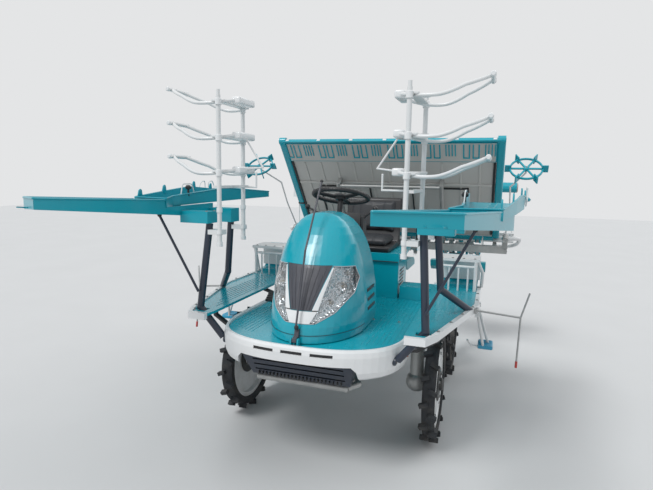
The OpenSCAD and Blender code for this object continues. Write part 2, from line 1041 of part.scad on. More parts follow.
module planter_frame() {
    color(metal)
        behind()
            difference() {
                union() {
                    block([-platform_half - 71, 1765, 868], [platform_half + 71, 1835, 932]);
                    for (c = [-2, 0, 2] * row_pitch)
                        gear_case(c);
                    // Roll bearing and its mast.
                    translate([0, 1722, roll_z])
                        rotate([-90, 0, 0])
                            cylinder(r = 36, h = 60);
                    // Masts under the platform.
                    both()
                        rod([450, 1800, 925], [450, 1398, 1462], 18);
                    rod([-450, 1415, 1440], [450, 1415, 1440], 14);
                    // Dark arms that carry the guide rail.
                    for (x = [-3, -1, 1, 3] * row_pitch) {
                        profile([[1825, 880], [1900, 880], [1962, 912], [1935, 942], [1825, 930]],
                            x - 18, x + 18);
                        on_slope()
                            block([x - 15, -80, -40], [x + 15, -26.3, 15]);
                    }
                    // Rollers that carry the platform's back.
                    on_slope()
                        for (x = [-450, 450])
                            block([x - 16, 662, -100], [x + 16, 706, -12.4]);
                    both()
                        profile([[1765, 925], [1765, 960], [1735, 1012], [1690, 1012],
                            [1690, 980], [1740, 920]], platform_half + 31, platform_half + 71);
                    both()
                        translate(marker_p)
                            rotate([-platform_slope, 0, 0])
                                translate([0, 0, -60])
                                    cylinder(r = 24, h = 48);
                }
                translate([0, 1700, roll_z])
                    rotate([-90, 0, 0])
                        cylinder(r = 20 + fit, h = 75);
                for (c = [-2, 0, 2] * row_pitch)
                    translate([c - 100, rotor_y, rotor_z])
                        rotate([0, 90, 0])
                            cylinder(r = 14 + fit, h = 200);
                both()
                    translate(marker_p)
                        rotate([-platform_slope, 0, 0])
                            translate([0, 0, -70])
                                cylinder(r = 10 + fit, h = 80);
            }
}

module guide_rail() {
    stretch = row_pitch / 2 - gate_half;
    color(white)
        behind() {
            on_slope() {
                // Stretches between two gates.
                for (i = [-2 : 2])
                    translate([i * row_pitch, 0, 0]) {
                        block([-stretch, -26, -34], [stretch, -8.4, 44]);
                        block([-stretch, -26, 36.4], [stretch, lip_foot, 44]);
                    }
                // Stretches beyond the outer gates, each with a lug.
                both() {
                    block([lip_half, -26, -34], [guide_half, -8.4, 44]);
                    block([lip_half, -26, 36.4], [guide_half, 22, 44]);
                    block([guide_half - 32, -66, 18], [guide_half - 8, -20, 50]);
                }
            }
            // Thin stays up to the granule tube.
            rod([guide_half - 20, 1968, 985], [guide_half - 20, 1938, 1404.4], 5);
            rod([20 - guide_half, 1968, 985], [20 - guide_half, 1948, 1309.4], 5);
        }
}

// Strip along the top of the rail, which bridges the gates.
module rail_lip() {
    color(white)
        behind()
            on_slope()
                block([-lip_half, lip_foot, 36.4], [lip_half, 22, 44]);
}

// Bent guard tube round each end, on a bracket of the beam.
module guard_tubes() {
    color(white)
        behind()
            both()
                translate([platform_half, 0, 0]) {
                    wire([[46, 1850, 985], [126, 1852, 1000], [178, 1902, 990], [162, 2000, 935],
                        [114, 2058, 906], [-44, 2066, 900]], 17);
                    block([28, 1835.3, 905], [62, 1872, 992]);
                }
}

module applicator_tube() {
    color(teal)
        behind() {
            difference() {
                rod([29.4 - platform_half, 1932, 1450], [platform_half + 124, 1932, 1450], tube_r);
                rod([platform_half + 66, 1932, 1450], [platform_half + 136, 1932, 1450], tube_r - 5);
            }
        }
}

module hopper() {
    color([0.6, 0.6, 0.6, 0.7])
        behind()
            translate([-platform_half, 0, 0])
                difference() {
                    union() {
                        hull() {
                            block([30, 1736, 1712], [192, 1880, 1717]);
                            block([39, 1744, 1590], [183, 1874, 1594]);
                        }
                        hull() {
                            block([39, 1744, 1590], [183, 1874, 1594]);
                            block([72, 1814, 1556], [168, 1908, 1560]);
                        }
                        block([72, 1814, 1470], [168, 1930, 1560]);
                    }
                    hull() {
                        block([36, 1742, 1712], [186, 1874, 1720]);
                        block([44, 1749, 1590], [178, 1869, 1594]);
                    }
                    hull() {
                        block([44, 1749, 1590], [178, 1869, 1594]);
                        block([77, 1819, 1556], [163, 1903, 1560]);
                    }
                    block([77, 1819, 1506], [163, 1925, 1560]);
                    block([77, 1819, 1552], [163, 1903, 1562]);
                    rod([30, 1932, 1450], [234, 1932, 1450], tube_r + 0.3);
                }
}

module applicator_box() {
    color(white)
        behind()
            translate([-platform_half, 0, 0]) {
                difference() {
                    block([-155, 1915, 1310], [29, 1992, 1518]);
                    // Corners turned round along the height.
                    for (c = [[-155, 1992], [29, 1992]])
                        translate([c[0], c[1], 1300])
                            rotate([0, 0, 45])
                                cube([14, 14, 500], center = true);
                }
                translate([-16, 1960, 1276])
                    cylinder(r = 15, h = 34);
                translate([-16, 1960, 1268])
                    cylinder(r1 = 24, r2 = 15, h = 14);
            }
}

// A float: flat boat with a raised nose and a narrow tail between two rows.
module float_shape(x0, x1, y0) {
    profile([[y0, 800], [y0 + 20, 745], [y0 + 90, 705], [1910, 700], [1915, 735],
        [1850, 775], [y0 + 60, 800]], x0, x1);
    profile([[1880, 700], [2120, 700], [2132, 712], [2040, 760], [1880, 750]],
        (x0 + x1) / 2 - 70, (x0 + x1) / 2 + 70);
}

module floats() {
    color(teal)
        behind() {
            float_shape(-180, 180, 1440);
            both()
                float_shape(2 * row_pitch - 235, 2 * row_pitch + 235, 1600);
            for (x = [-2, 0, 2] * row_pitch)
                block([x - 20, 1780, 760], [x + 20, 1815, 867.5]);
        }
}

module platform_panel() {
    color(white)
        behind()
            on_slope() {
                difference() {
                    block([-platform_half + 60.3, 0, -12], [platform_half - 60.3, platform_len, 0]);
                    for (l = [0 : 5], k = [0 : 4])
                        translate([(l - 2.5) * row_pitch - 92 + k * 46, platform_len - 175, -13])
                            cube([11, 150, 14]);
                }
                for (i = [-2 : 2])
                    block([i * row_pitch - 7, 10, -1], [i * row_pitch + 7, platform_len - 190, 18]);
            }
}

module platform_frame() {
    color(teal)
        behind()
            on_slope() {
                // Side frames with a soft square section.
                both()
                    hull()
                        for (x = [-16, 16], n = [-14, 18])
                            translate([platform_half - 30 + x, 16, n])
                                rotate([-90, 0, 0])
                                    cylinder(r = 14, h = platform_len - 16, $fn = 24);
                both()
                    translate([platform_half - 60, platform_len, 2])
                        rotate([0, 90, 0])
                            cylinder(r = 30, h = 58);
                block([-platform_half + 40, platform_len + 0.3, -28],
                    [platform_half - 40, platform_len + 16, 6]);
                block([-platform_half + 60, platform_len - 200, -22],
                    [platform_half - 60, platform_len - 10, -12.3]);
                // Slide strip that runs on the guide rail.
                block([-platform_half + 50, -8.1, -34], [platform_half - 50, 24, -19]);
                block([-platform_half + 50, 6, -34], [platform_half - 50, 24, -12.3]);
            }
}

module platform_belts() {
    color(dark)
        behind()
            on_slope()
                for (l = [0 : 5], k = [-1 : 1])
                    translate([(l - 2.5) * row_pitch + k * 61 - 29, 45, 0.2])
                        cube([58, 415, 5]);
}

module platform_rods() {
    color(metal)
        behind()
            on_slope() {
                for (s = [300, 840]) {
                    rod([-platform_half + 30, s, 62], [platform_half - 30, s, 62], 4);
                    both()
                        rod([platform_half - 30, s, 66], [platform_half - 30, s, 32.3], 4);
                }
                for (x = [-20, 480])
                    wire([[x, 840, 62], [x - 30, 760, 55], [x - 10, 745, 20]], 3);
            }
}

// A flat arm along y with round ends of radius ra and rb, d apart and t thick about x.
module arm(ra, rb, d, t) {
    k = acos((ra - rb) / d);
    translate([-t / 2, 0, 0])
        rotate([90, 0, 90])
            linear_extrude(height = t)
                union() {
                    circle(r = ra);
                    translate([d, 0])
                        circle(r = rb);
                    polygon([[ra * cos(k), ra * sin(k)], [d + rb * cos(k), rb * sin(k)],
                        [d + rb * cos(k), -rb * sin(k)], [ra * cos(k), -ra * sin(k)]]);
                }
}

// A planting arm with its two-tined claw; the claw's tips stay within the rotor's reach.
module planting_arm() {
    arm(21, 13, 34, 28);
    for (x = [-9, 9])
        translate([x - 1.5, 36, -4])
            cube([3, claw_reach - 116, 8]);
}

// A rotor: shaft with a long case on each side, each with two planting arms.
module rotor(c) {
    translate([c, rotor_y, rotor_z])
        rotate([-48, 0, 0]) {
            rotate([0, 90, 0])
                translate([0, 0, -120])
                    cylinder(r = 14, h = 240);
            for (s = [-1, 1], e = [0, 180])
                rotate([e, 0, 0]) {
                    translate([s * 92, 0, 0])
                        arm(38, 26, 84, 36);
                    translate([s * 92 + (s < 0 ? -50 : 10), 84, 0])
                        rotate([0, 90, 0])
                            cylinder(r = 17, h = 40);
                    translate([s * row_pitch / 2, 84, 0])
                        rotate([-40, 0, 0])
                            planting_arm();
                }
        }
}

module rotor_left() {
    color(metal)
        behind()
            rotor(2 * row_pitch);
}

module rotor_centre() {
    color(metal)
        behind()
            rotor(0);
}

module rotor_right() {
    color(metal)
        behind()
            rotor(-2 * row_pitch);
}

module marker_arm_shape() {
    translate(marker_p)
        rotate([-platform_slope, 0, 0]) {
            translate([0, 0, -62])
                cylinder(r = 10, h = 70);
            translate([0, 0, -11.5])
                cylinder(r = 24, h = 20);
        }
    wire([marker_p, marker_p + up * 300 + [14, 0, 0], marker_p + up * 560 + [2, 0, 0],
        star_p - up * 40], 6.5);
    translate(star_p)
        rotate([90 - platform_slope, 0, 0])
            translate([0, 0, -44])
                cylinder(r = 7, h = 76);
}

module marker_arm_left() {
    color(white)
        behind()
            marker_arm_shape();
}

module marker_arm_right() {
    color(white)
        behind()
            mirror([1, 0, 0])
                marker_arm_shape();
}

module star_shape() {
    translate(star_p)
        rotate([90 - platform_slope, 0, 0])
            difference() {
                union() {
                    rotate_extrude()
                        translate([star_r - 38, 0])
                            square([10, 14], center = true);
                    cylinder(r = 20, h = 24, center = true);
                    for (a = [0 : 60 : 300])
                        rotate([0, 0, a]) {
                            translate([14, -6, -5])
                                cube([star_r - 52, 12, 10]);
                            translate([star_r - 46, -4, -30])
                                cube([46, 8, 60]);
                        }
                }
                cylinder(r = 7 + fit, h = 60, center = true);
            }
}

module star_wheel_left() {
    color(teal)
        behind()
            star_shape();
}

module star_wheel_right() {
    color(teal)
        behind()
            mirror([1, 0, 0])
                star_shape();
}

chassis_frame();
transmission_case();
rear_axle_case();
engine_block();
deck();
deck_rim();
front_grille();
dash_panel();
seat_pedestal();
seat();
rear_guard();
rail_posts();
seedling_rails();
spare_racks();
rack_tiers();
step_left();
step_right();
side_markers();
bonnet();
headlamps();
bonnet_trim();
steering_wheel();
knuckle_left();
knuckle_right();
front_tyre_left();
front_tyre_right();
front_disc_left();
front_disc_right();
rear_tyre_left();
rear_tyre_right();
rear_rim_left();
rear_rim_right();
lower_links();
upper_link();
hitch_frame();
lift_barrel();
lift_rod();
planter_frame();
guide_rail();
rail_lip();
guard_tubes();
applicator_tube();
hopper();
applicator_box();
floats();
platform_panel();
platform_frame();
platform_belts();
platform_rods();
rotor_left();
rotor_centre();
rotor_right();
marker_arm_left();
marker_arm_right();
star_wheel_left();
star_wheel_right();
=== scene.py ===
import bpy, bmesh
import math
from mathutils import Matrix, Vector


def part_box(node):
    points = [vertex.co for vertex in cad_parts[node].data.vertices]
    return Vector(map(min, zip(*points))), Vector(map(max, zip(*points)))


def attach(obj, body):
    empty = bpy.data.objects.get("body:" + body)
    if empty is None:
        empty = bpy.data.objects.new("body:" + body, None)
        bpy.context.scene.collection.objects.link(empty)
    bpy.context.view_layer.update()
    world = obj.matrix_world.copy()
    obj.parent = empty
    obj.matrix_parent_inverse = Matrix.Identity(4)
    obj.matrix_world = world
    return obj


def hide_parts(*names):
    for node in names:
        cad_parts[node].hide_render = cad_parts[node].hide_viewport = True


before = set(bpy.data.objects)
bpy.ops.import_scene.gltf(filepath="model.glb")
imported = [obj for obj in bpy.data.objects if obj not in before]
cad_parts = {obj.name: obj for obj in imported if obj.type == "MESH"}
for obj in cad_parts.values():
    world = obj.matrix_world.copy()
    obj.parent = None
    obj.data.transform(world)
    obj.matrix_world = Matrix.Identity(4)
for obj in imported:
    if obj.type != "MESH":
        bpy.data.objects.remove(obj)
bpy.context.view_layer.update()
lowFront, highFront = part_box("front_disc_left")
axleY = (lowFront[1] + highFront[1]) / 2      # the front axle is the zero of every lengthwise size below
print("frame loaded, front axle at", round(axleY, 4))


def linear(hexText):
    parts = [int(hexText[i:i + 2], 16) / 255 for i in (0, 2, 4)]
    return tuple(p / 12.92 if p <= 0.04045 else ((p + 0.055) / 1.055) ** 2.4 for p in parts) + (1.0,)


# joins sockets to a node's inputs and sets plain values
def feed(tree, node, inputs):
    for key, value in inputs.items():
        socket = node.inputs[key]
        if isinstance(value, bpy.types.NodeSocket):
            tree.links.new(value, socket)
        else:
            socket.default_value = value


def addNode(tree, kind, inputs=None, **settings):
    made = tree.nodes.new(kind)
    for key, value in settings.items():
        setattr(made, key, value)
    feed(tree, made, inputs or {})
    return made


def startMaterial(name):
    made = bpy.data.materials.new(name)
    made.use_nodes = True
    tree = made.node_tree
    tree.nodes.clear()
    shader = addNode(tree, "ShaderNodeBsdfPrincipled")
    addNode(tree, "ShaderNodeOutputMaterial", {"Surface": shader.outputs["BSDF"]})
    place = addNode(tree, "ShaderNodeTexCoord").outputs["Object"]
    return made, tree, shader, place


def noise(tree, place, scale, detail, rough=0.5):
    inputs = {"Vector": place, "Scale": scale, "Detail": detail, "Roughness": rough}
    return addNode(tree, "ShaderNodeTexNoise", inputs).outputs["Fac"]


# Voronoi cells: the distance to the point, or to the edge, of each
def cells(tree, place, scale, feature="F1"):
    return addNode(tree, "ShaderNodeTexVoronoi", {"Vector": place, "Scale": scale},
                   feature=feature).outputs["Distance"]


# two colours in sRGB hex, or sockets, mixed by a share
def blend(tree, share, low, high):
    low, high = (linear(c) if isinstance(c, str) else c for c in (low, high))
    return addNode(tree, "ShaderNodeMix", {"Factor": share, "A": low, "B": high},
                   data_type="RGBA").outputs["Result"]


def remap(tree, value, low, high, start=0.0, end=1.0):
    inputs = {"Value": value, "From Min": start, "From Max": end, "To Min": low, "To Max": high}
    return addNode(tree, "ShaderNodeMapRange", inputs).outputs["Result"]


def combine(tree, operation, first, second, **settings):
    return addNode(tree, "ShaderNodeMath", {0: first, 1: second}, operation=operation, **settings).outputs[0]


def heightOf(tree, axis, vector):
    return addNode(tree, "ShaderNodeSeparateXYZ", {"Vector": vector}).outputs[axis]


# distance is the relief's full height in metres
def relief(tree, height, strength, distance, **more):
    inputs = {"Height": height, "Strength": strength, "Distance": distance, **more}
    return addNode(tree, "ShaderNodeBump", inputs).outputs["Normal"]


# moulded and sprayed finishes: colour and shade in sRGB hex, roughness, grain in millimetres, relief, dust
finishes = {
    "tealAbs": ("02a6b8", "0297a8", 0.26, 2.5, 0.05, 0.04),
    "tealEnamel": ("02a1b3", "0491a2", 0.30, 4.0, 0.06, 0.10),
    "tealFloat": ("06a2b2", "08909f", 0.42, 3.0, 0.08, 0.30),
    "whiteAbs": ("e9eaea", "dcdedf", 0.30, 2.5, 0.05, 0.14),
    "whiteEnamel": ("e4e5e4", "d3d5d6", 0.32, 4.0, 0.06, 0.16),
    "navyEnamel": ("2b3546", "232c3a", 0.36, 3.5, 0.07, 0.18),
    "blackEnamel": ("24262a", "1b1d20", 0.42, 3.5, 0.08, 0.30),
    "blackAbs": ("232427", "1c1d20", 0.48, 2.0, 0.12, 0.16),
    "greyAbs": ("4a4b53", "42434a", 0.42, 2.0, 0.10, 0.10),
    "panelSheet": ("c6c5c1", "b5b4b0", 0.45, 3.0, 0.06, 0.2),
    "blueAbs": ("2a9fc4", "2492b6", 0.3, 2.0, 0.05, 0.08),
    "redEnamel": ("c23a34", "ab322e", 0.35, 3.0, 0.05, 0.1),
    "capResin": ("b9a6a4", "a99896", 0.4, 2.0, 0.08, 0.12),
    "paleGreyAbs": ("b9bcc0", "adb0b4", 0.38, 2.0, 0.08, 0.14),
}
dirtForm = {"colour": "8d8576", "rough": 0.85, "splashTop": 0.75, "splashFoot": 0.15, "splash": 0.30}
sheens = {"tealAbs": 0.35, "whiteAbs": 0.35}
plainSheen = 0.12
edgeRadius = 0.0022


# a soft gloss, the faint ripple of the mould or spray, dust on top faces and dried splashes low down
def coatedSkin(name):
    colour, shade, rough, grainMm, strength, dust = finishes[name]
    d = dirtForm
    made, tree, shader, place = startMaterial(name)
    tone = blend(tree, noise(tree, place, 3.2, 4.0), colour, shade)
    normal = addNode(tree, "ShaderNodeNewGeometry").outputs["Normal"]
    lies = remap(tree, heightOf(tree, "Z", normal), 0.0, dust, 0.5, 1.0)
    spread = remap(tree, noise(tree, place, 14.0, 6.0, 0.7), 0.0, 1.0, 0.42, 0.72)
    splash = remap(tree, heightOf(tree, "Z", place), 0.0, d["splash"], d["splashTop"], d["splashFoot"])
    dusty, mud = (combine(tree, "MULTIPLY", layer, spread) for layer in (lies, splash))
    dirt = combine(tree, "MAXIMUM", dusty, mud, use_clamp=True)
    edge = addNode(tree, "ShaderNodeBevel", {"Radius": edgeRadius}, samples=4).outputs["Normal"]
    grain = noise(tree, place, 1000 / grainMm / 2, 2.0)
    feed(tree, shader, {"Base Color": blend(tree, dirt, tone, d["colour"]),
                        "Roughness": remap(tree, dirt, rough, d["rough"]),
                        "Normal": relief(tree, grain, strength, 0.001, Normal=edge),
                        "Coat Weight": sheens.get(name, plainSheen), "Coat Roughness": 0.12})
    return made


# sand-cast aluminium: dull grey, paler and darker in soft random patches, with the sand's fine pits
def castAluminium():
    made, tree, shader, place = startMaterial("castAluminium")
    cloud = noise(tree, place, 18.0, 8.0, 0.65)
    feed(tree, shader, {"Base Color": blend(tree, cloud, "8e9090", "c3c4c2"), "Metallic": 0.7,
                        "Roughness": remap(tree, cloud, 0.38, 0.62),
                        "Normal": relief(tree, noise(tree, place, 420.0, 3.0), 0.35, 0.0012)})
    return made


# zinc-plated steel: bright grey with the faint mottling of the plating
def zincPlate():
    made, tree, shader, place = startMaterial("zincPlate")
    cloud = noise(tree, place, 60.0, 5.0)
    feed(tree, shader, {"Base Color": blend(tree, cloud, "8f9192", "b7b9b8"), "Metallic": 0.9,
                        "Roughness": remap(tree, cloud, 0.26, 0.44)})
    return made


# aluminium fired onto moulded reflectors: a bright mirror broken into small facets, 12 mm across
def vacuumChrome():
    made, tree, shader, place = startMaterial("vacuumChrome")
    facet = cells(tree, place, 80.0)
    feed(tree, shader,
         {"Base Color": blend(tree, facet, "f4f6f8", "d4d8dc"), "Metallic": 1.0, "Roughness": 0.16,
          "Normal": relief(tree, facet, 0.7, 0.006)})
    return made


# moulded prism reflector: amber acrylic over cube corners 4 mm wide, drawn as ridges that catch the light
def amberLens():
    made, tree, shader, place = startMaterial("amberLens")
    prism = cells(tree, place, 250.0)
    feed(tree, shader, {"Base Color": blend(tree, prism, "f2761c", "c4510c"), "Roughness": 0.18,
                        "Coat Weight": 0.5, "Normal": relief(tree, prism, 0.4, 0.002)})
    return made


# hard chrome on the lift rod: an even mirror with hardly any haze
def hardChrome():
    made, tree, shader, place = startMaterial("hardChrome")
    feed(tree, shader, {"Base Color": linear("c8cacb"), "Metallic": 1.0,
                        "Roughness": remap(tree, noise(tree, place, 40.0, 3.0), 0.06, 0.16)})
    return made


# natural rubber with carbon black: matt, paler where dried mud and handling have dulled it
def tyreRubber():
    made, tree, shader, place = startMaterial("tyreRubber")
    dried = remap(tree, noise(tree, place, 9.0, 7.0, 0.7), 0.0, 0.42, 0.46, 0.74)
    feed(tree, shader, {"Base Color": blend(tree, dried, "26292d", "6a655c"), "Roughness": 0.78,
                        "Normal": relief(tree, noise(tree, place, 260.0, 3.0), 0.25, 0.001)})
    return made


# fabric-faced rubber of the feed belts: dark, matt, with cross ribs every 6 mm
def beltRubber():
    made, tree, shader, place = startMaterial("beltRubber")
    turned = addNode(tree, "ShaderNodeMapping", {"Vector": place, "Rotation": (math.radians(-41.4), 0, 0)})
    rib = addNode(tree, "ShaderNodeTexWave",
                  {"Vector": turned.outputs["Vector"], "Scale": 52.0, "Distortion": 0.0},
                  wave_type="BANDS", bands_direction="Z").outputs["Fac"]
    feed(tree, shader, {"Base Color": blend(tree, noise(tree, place, 25.0, 6.0), "1f2128", "3a3c45"),
                        "Roughness": 0.7, "Normal": relief(tree, rib, 0.4, 0.0015)})
    return made


# grained PVC seat cover: fine pebbled leather grain and a low sheen
def seatVinyl():
    made, tree, shader, place = startMaterial("seatVinyl")
    pebble = cells(tree, place, 320.0, "DISTANCE_TO_EDGE")
    feed(tree, shader, {"Base Color": blend(tree, noise(tree, place, 12.0, 5.0), "202225", "303338"),
                        "Roughness": 0.5, "Normal": relief(tree, pebble, 0.3, 0.0008)})
    return made


# clear polycarbonate or natural polypropylene: see-through, hazy where it is rough
def clearPlastic(name, hexColour, rough, share):
    made, tree, shader, place = startMaterial(name)
    tint = linear(hexColour)
    deep = tuple(c * 0.86 for c in tint[:3]) + (1.0,)
    feed(tree, shader,
         {"Base Color": blend(tree, noise(tree, place, 22.0, 4.0), tint, deep), "Roughness": rough,
          "Transmission Weight": share, "IOR": 1.5})
    return made


materials = {name: coatedSkin(name) for name in finishes}
materials.update({
    "castAluminium": castAluminium(), "zincPlate": zincPlate(), "hardChrome": hardChrome(),
    "tyreRubber": tyreRubber(), "beltRubber": beltRubber(), "seatVinyl": seatVinyl(),
    "clearLens": clearPlastic("clearLens", "fafcfd", 0.03, 0.97),
    "bulbGlass": clearPlastic("bulbGlass", "fff6e6", 0.1, 0.4),
    "vacuumChrome": vacuumChrome(), "amberLens": amberLens(),
    "hopperPlastic": clearPlastic("hopperPlastic", "dcd8e2", 0.35, 0.35),
})
print("materials made:", len(materials))


nodeFinish = {
    "blackEnamel": ["chassis_frame", "engine_block", "rear_rim_left", "rear_rim_right"],
    "castAluminium": ["transmission_case", "rear_axle_case", "knuckle_left", "knuckle_right", "lift_barrel",
                      "planter_frame", "rotor_left", "rotor_centre", "rotor_right"],
    "tealAbs": ["deck", "seat_pedestal", "bonnet", "platform_frame"],
    "whiteAbs": ["deck_rim", "applicator_box", "platform_panel"],
    "navyEnamel": ["front_grille", "rail_posts", "lower_links", "upper_link", "hitch_frame"],
    "blackAbs": ["dash_panel", "steering_wheel"],
    "seatVinyl": ["seat"],
    "whiteEnamel": ["rear_guard", "spare_racks", "rack_tiers", "step_left", "step_right", "front_disc_left",
                    "front_disc_right",
                    "guide_rail", "rail_lip", "guard_tubes", "marker_arm_left", "marker_arm_right"],
    "tealEnamel": ["seedling_rails", "applicator_tube", "star_wheel_left", "star_wheel_right"],
    "zincPlate": ["side_markers", "platform_rods"],
    "clearLens": ["headlamps"],
    "greyAbs": ["bonnet_trim"],
    "tyreRubber": ["front_tyre_left", "front_tyre_right", "rear_tyre_left", "rear_tyre_right"],
    "hardChrome": ["lift_rod"],
    "hopperPlastic": ["hopper"],
    "tealFloat": ["floats"],
    "beltRubber": ["platform_belts"],
}


for finishName, nodeNames in nodeFinish.items():
    for nodeName in nodeNames:
        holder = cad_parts[nodeName]
        holder.data.materials.clear()
        holder.data.materials.append(materials[finishName])
print("CAD nodes finished")


# small mesh tools: every shape is drawn in millimetres in the machine's own frame and lands in metres
def mm(x, y, z):
    return Vector((x / 1000, y / 1000 + axleY, z / 1000))


slopeForm = {"angle": math.radians(48.6), "footY": 1941, "footZ": 992}


# the seedling platform's own frame: x across, s up the slope from its foot, n off its face
def slope(x, s, n):
    f = slopeForm
    along, off = math.cos(f["angle"]), math.sin(f["angle"])
    return mm(x, f["footY"] - s * along + n * off, f["footZ"] + s * off + n * along)


# outlines drawn in a plane: seen from the side, and seen from behind
def fromSide(u, v, w):
    return mm(w, u, v)


def fromBehind(u, v, w):
    return mm(u, w, v)


# a path of plain numbers, mirrored by side and moved across by shift
def run(points, side=1, shift=0, place=mm):
    return [place(shift + side * x, y, z) for x, y, z in points]


def addRings(shape, rings):
    rows = [[shape.verts.new(p) for p in ring] for ring in rings]
    for a, b in zip(rows, rows[1:]):
        for j in range(len(a)):
            k = (j + 1) % len(a)
            shape.faces.new((a[j], a[k], b[k], b[j]))
    shape.faces.new(rows[0][::-1])
    shape.faces.new(rows[-1])


# a path with its corners cut back and rounded
def roundPath(points, cut):
    steps = 5
    out = [points[0]]
    for a, b, c in zip(points, points[1:], points[2:]):
        d = min(cut / 1000, (a - b).length * 0.45, (c - b).length * 0.45)
        p, q = b + (a - b).normalized() * d, b + (c - b).normalized() * d
        out += [p * (1 - t) ** 2 + b * 2 * t * (1 - t) + q * t * t
                for t in (k / steps for k in range(steps + 1))]
    return out + [points[-1]]


# a round tube whose ends are rounded over by endShare of the radius
def addTube(shape, points, radius, cut=0.0, sides=12, endRadius=None):
    endShare, endStep = 0.72, 0.3
    path = roundPath(points, cut) if cut and len(points) > 2 else list(points)
    last = len(path) - 1
    before = (path[1] - path[0]).normalized()
    normal = before.orthogonal().normalized()
    rings = []
    for i, p in enumerate(path):
        ahead = (path[min(i + 1, last)] - path[max(i - 1, 0)]).normalized()
        normal = (before.rotation_difference(ahead) @ normal).normalized()
        before = ahead
        side = ahead.cross(normal)
        r = (radius + ((endRadius or radius) - radius) * i / last) / 1000
        ring = lambda r, p: [p + (normal * math.cos(a) + side * math.sin(a)) * r
                             for a in (2 * math.pi * k / sides for k in range(sides))]
        if i == 0:
            rings.append(ring(r * endShare, p - ahead * r * endStep))
        rings.append(ring(r, p))
        if i == last:
            rings.append(ring(r * endShare, p + ahead * r * endStep))
    addRings(shape, rings)


# softens a part's edges, sets it in its place and adds it to the shape
def settle(shape, part, soft, place, segments):
    if soft:
        bmesh.ops.bevel(part, geom=part.edges[:], offset=soft, segments=segments, profile=0.5, affect="EDGES")
    for v in part.verts:
        v.co = place(*v.co)
    mesh = bpy.data.meshes.new("part")
    part.to_mesh(mesh)
    part.free()
    shape.from_mesh(mesh)
    bpy.data.meshes.remove(mesh)


def addBlock(shape, low, high, soft=2.0, place=mm, segments=2):
    part = bmesh.new()
    bmesh.ops.create_cube(part, size=1)
    for v in part.verts:
        v.co = Vector([(low[i] + high[i]) / 2 + v.co[i] * (high[i] - low[i]) for i in range(3)])
    settle(shape, part, soft, place, segments)


# a flat outline pulled straight through, with its edges softened
def addPrism(shape, outline, low, high, place, soft=0.0, segments=2):
    part = bmesh.new()
    addRings(part, [[Vector((u, v, w)) for u, v in outline] for w in (low, high)])
    settle(shape, part, soft, place, segments)


# a profile of (radius, distance) turned about an axis
def addTurned(shape, centre, axis, profile, steps=32, closed=False):
    axis = Vector(axis).normalized()
    side = axis.orthogonal().normalized()
    other = axis.cross(side)
    columns = []
    for k in range(steps):
        a = 2 * math.pi * k / steps
        out = side * math.cos(a) + other * math.sin(a)
        columns.append([shape.verts.new(centre + out * r / 1000 + axis * d / 1000) for r, d in profile])
    count = len(profile)
    for k in range(steps):
        a, b = columns[k], columns[(k + 1) % steps]
        for j in range(count if closed else count - 1):
            n = (j + 1) % count
            shape.faces.new((a[j], a[n], b[n], b[j]))


# bolts set round a shaft: their places and facings
def boltCircle(hub, side, out, radius, count, start=0):
    turns = [math.radians(start + 360 / count * k) for k in range(count)]
    return [(hub + Vector((side * out, radius * math.cos(a), radius * math.sin(a))) / 1000,
             Vector((side, 0, 0)))
            for a in turns]


# a sheet over a grid of points, given a thickness by its own back points
def addSheet(shape, front, back):
    rows, cols = len(front), len(front[0])
    f = [[shape.verts.new(p) for p in row] for row in front]
    b = [[shape.verts.new(p) for p in row] for row in back]
    for i in range(rows - 1):
        for j in range(cols - 1):
            shape.faces.new((f[i][j], f[i][j + 1], f[i + 1][j + 1], f[i + 1][j]))
            shape.faces.new((b[i][j], b[i + 1][j], b[i + 1][j + 1], b[i][j + 1]))
    rim = ([(0, j) for j in range(cols)] + [(i, cols - 1) for i in range(1, rows)]
           + [(rows - 1, j) for j in range(cols - 2, -1, -1)] + [(i, 0) for i in range(rows - 2, 0, -1)])
    for (i, j), (k, m) in zip(rim, rim[1:] + rim[:1]):
        shape.faces.new((f[i][j], b[i][j], b[k][m], f[k][m]))


def linkObject(name, data):
    made = bpy.data.objects.new(name, data)
    bpy.context.collection.objects.link(made)
    return made


def keepPiece(piece, material, body, replaces=()):
    piece.data.materials.clear()
    piece.data.materials.append(materials[material])
    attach(piece, body)
    if replaces:
        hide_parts(*replaces)
    return piece


def finishPiece(shape, name, material, body, replaces=(), sharp=38):
    bmesh.ops.remove_doubles(shape, verts=shape.verts, dist=1e-6)
    bmesh.ops.recalc_face_normals(shape, faces=shape.faces)
    for face in shape.faces:
        face.smooth = True
    for edge in shape.edges:
        if len(edge.link_faces) == 2 and edge.calc_face_angle(0) > math.radians(sharp):
            edge.smooth = False
    mesh = bpy.data.meshes.new(name)
    shape.to_mesh(mesh)
    shape.free()
    return keepPiece(linkObject(name, mesh), material, body, replaces)


# runs a node tree on a carrier mesh and leaves the result as a plain mesh
def growPiece(name, carrier, tree, values, material, body):
    holder = linkObject(name + "Carrier", carrier)
    modifier = holder.modifiers.new("grow", "NODES")
    modifier.node_group = tree
    for item in tree.interface.items_tree:
        if item.item_type == "SOCKET" and item.in_out == "INPUT" and item.name in values:
            modifier[item.identifier] = values[item.name]
    bpy.context.view_layer.update()
    shown = holder.evaluated_get(bpy.context.evaluated_depsgraph_get())
    mesh = bpy.data.meshes.new_from_object(shown)
    mesh.name = name
    holder.modifiers.clear()
    bpy.data.objects.remove(holder)
    return keepPiece(linkObject(name, mesh), material, body)


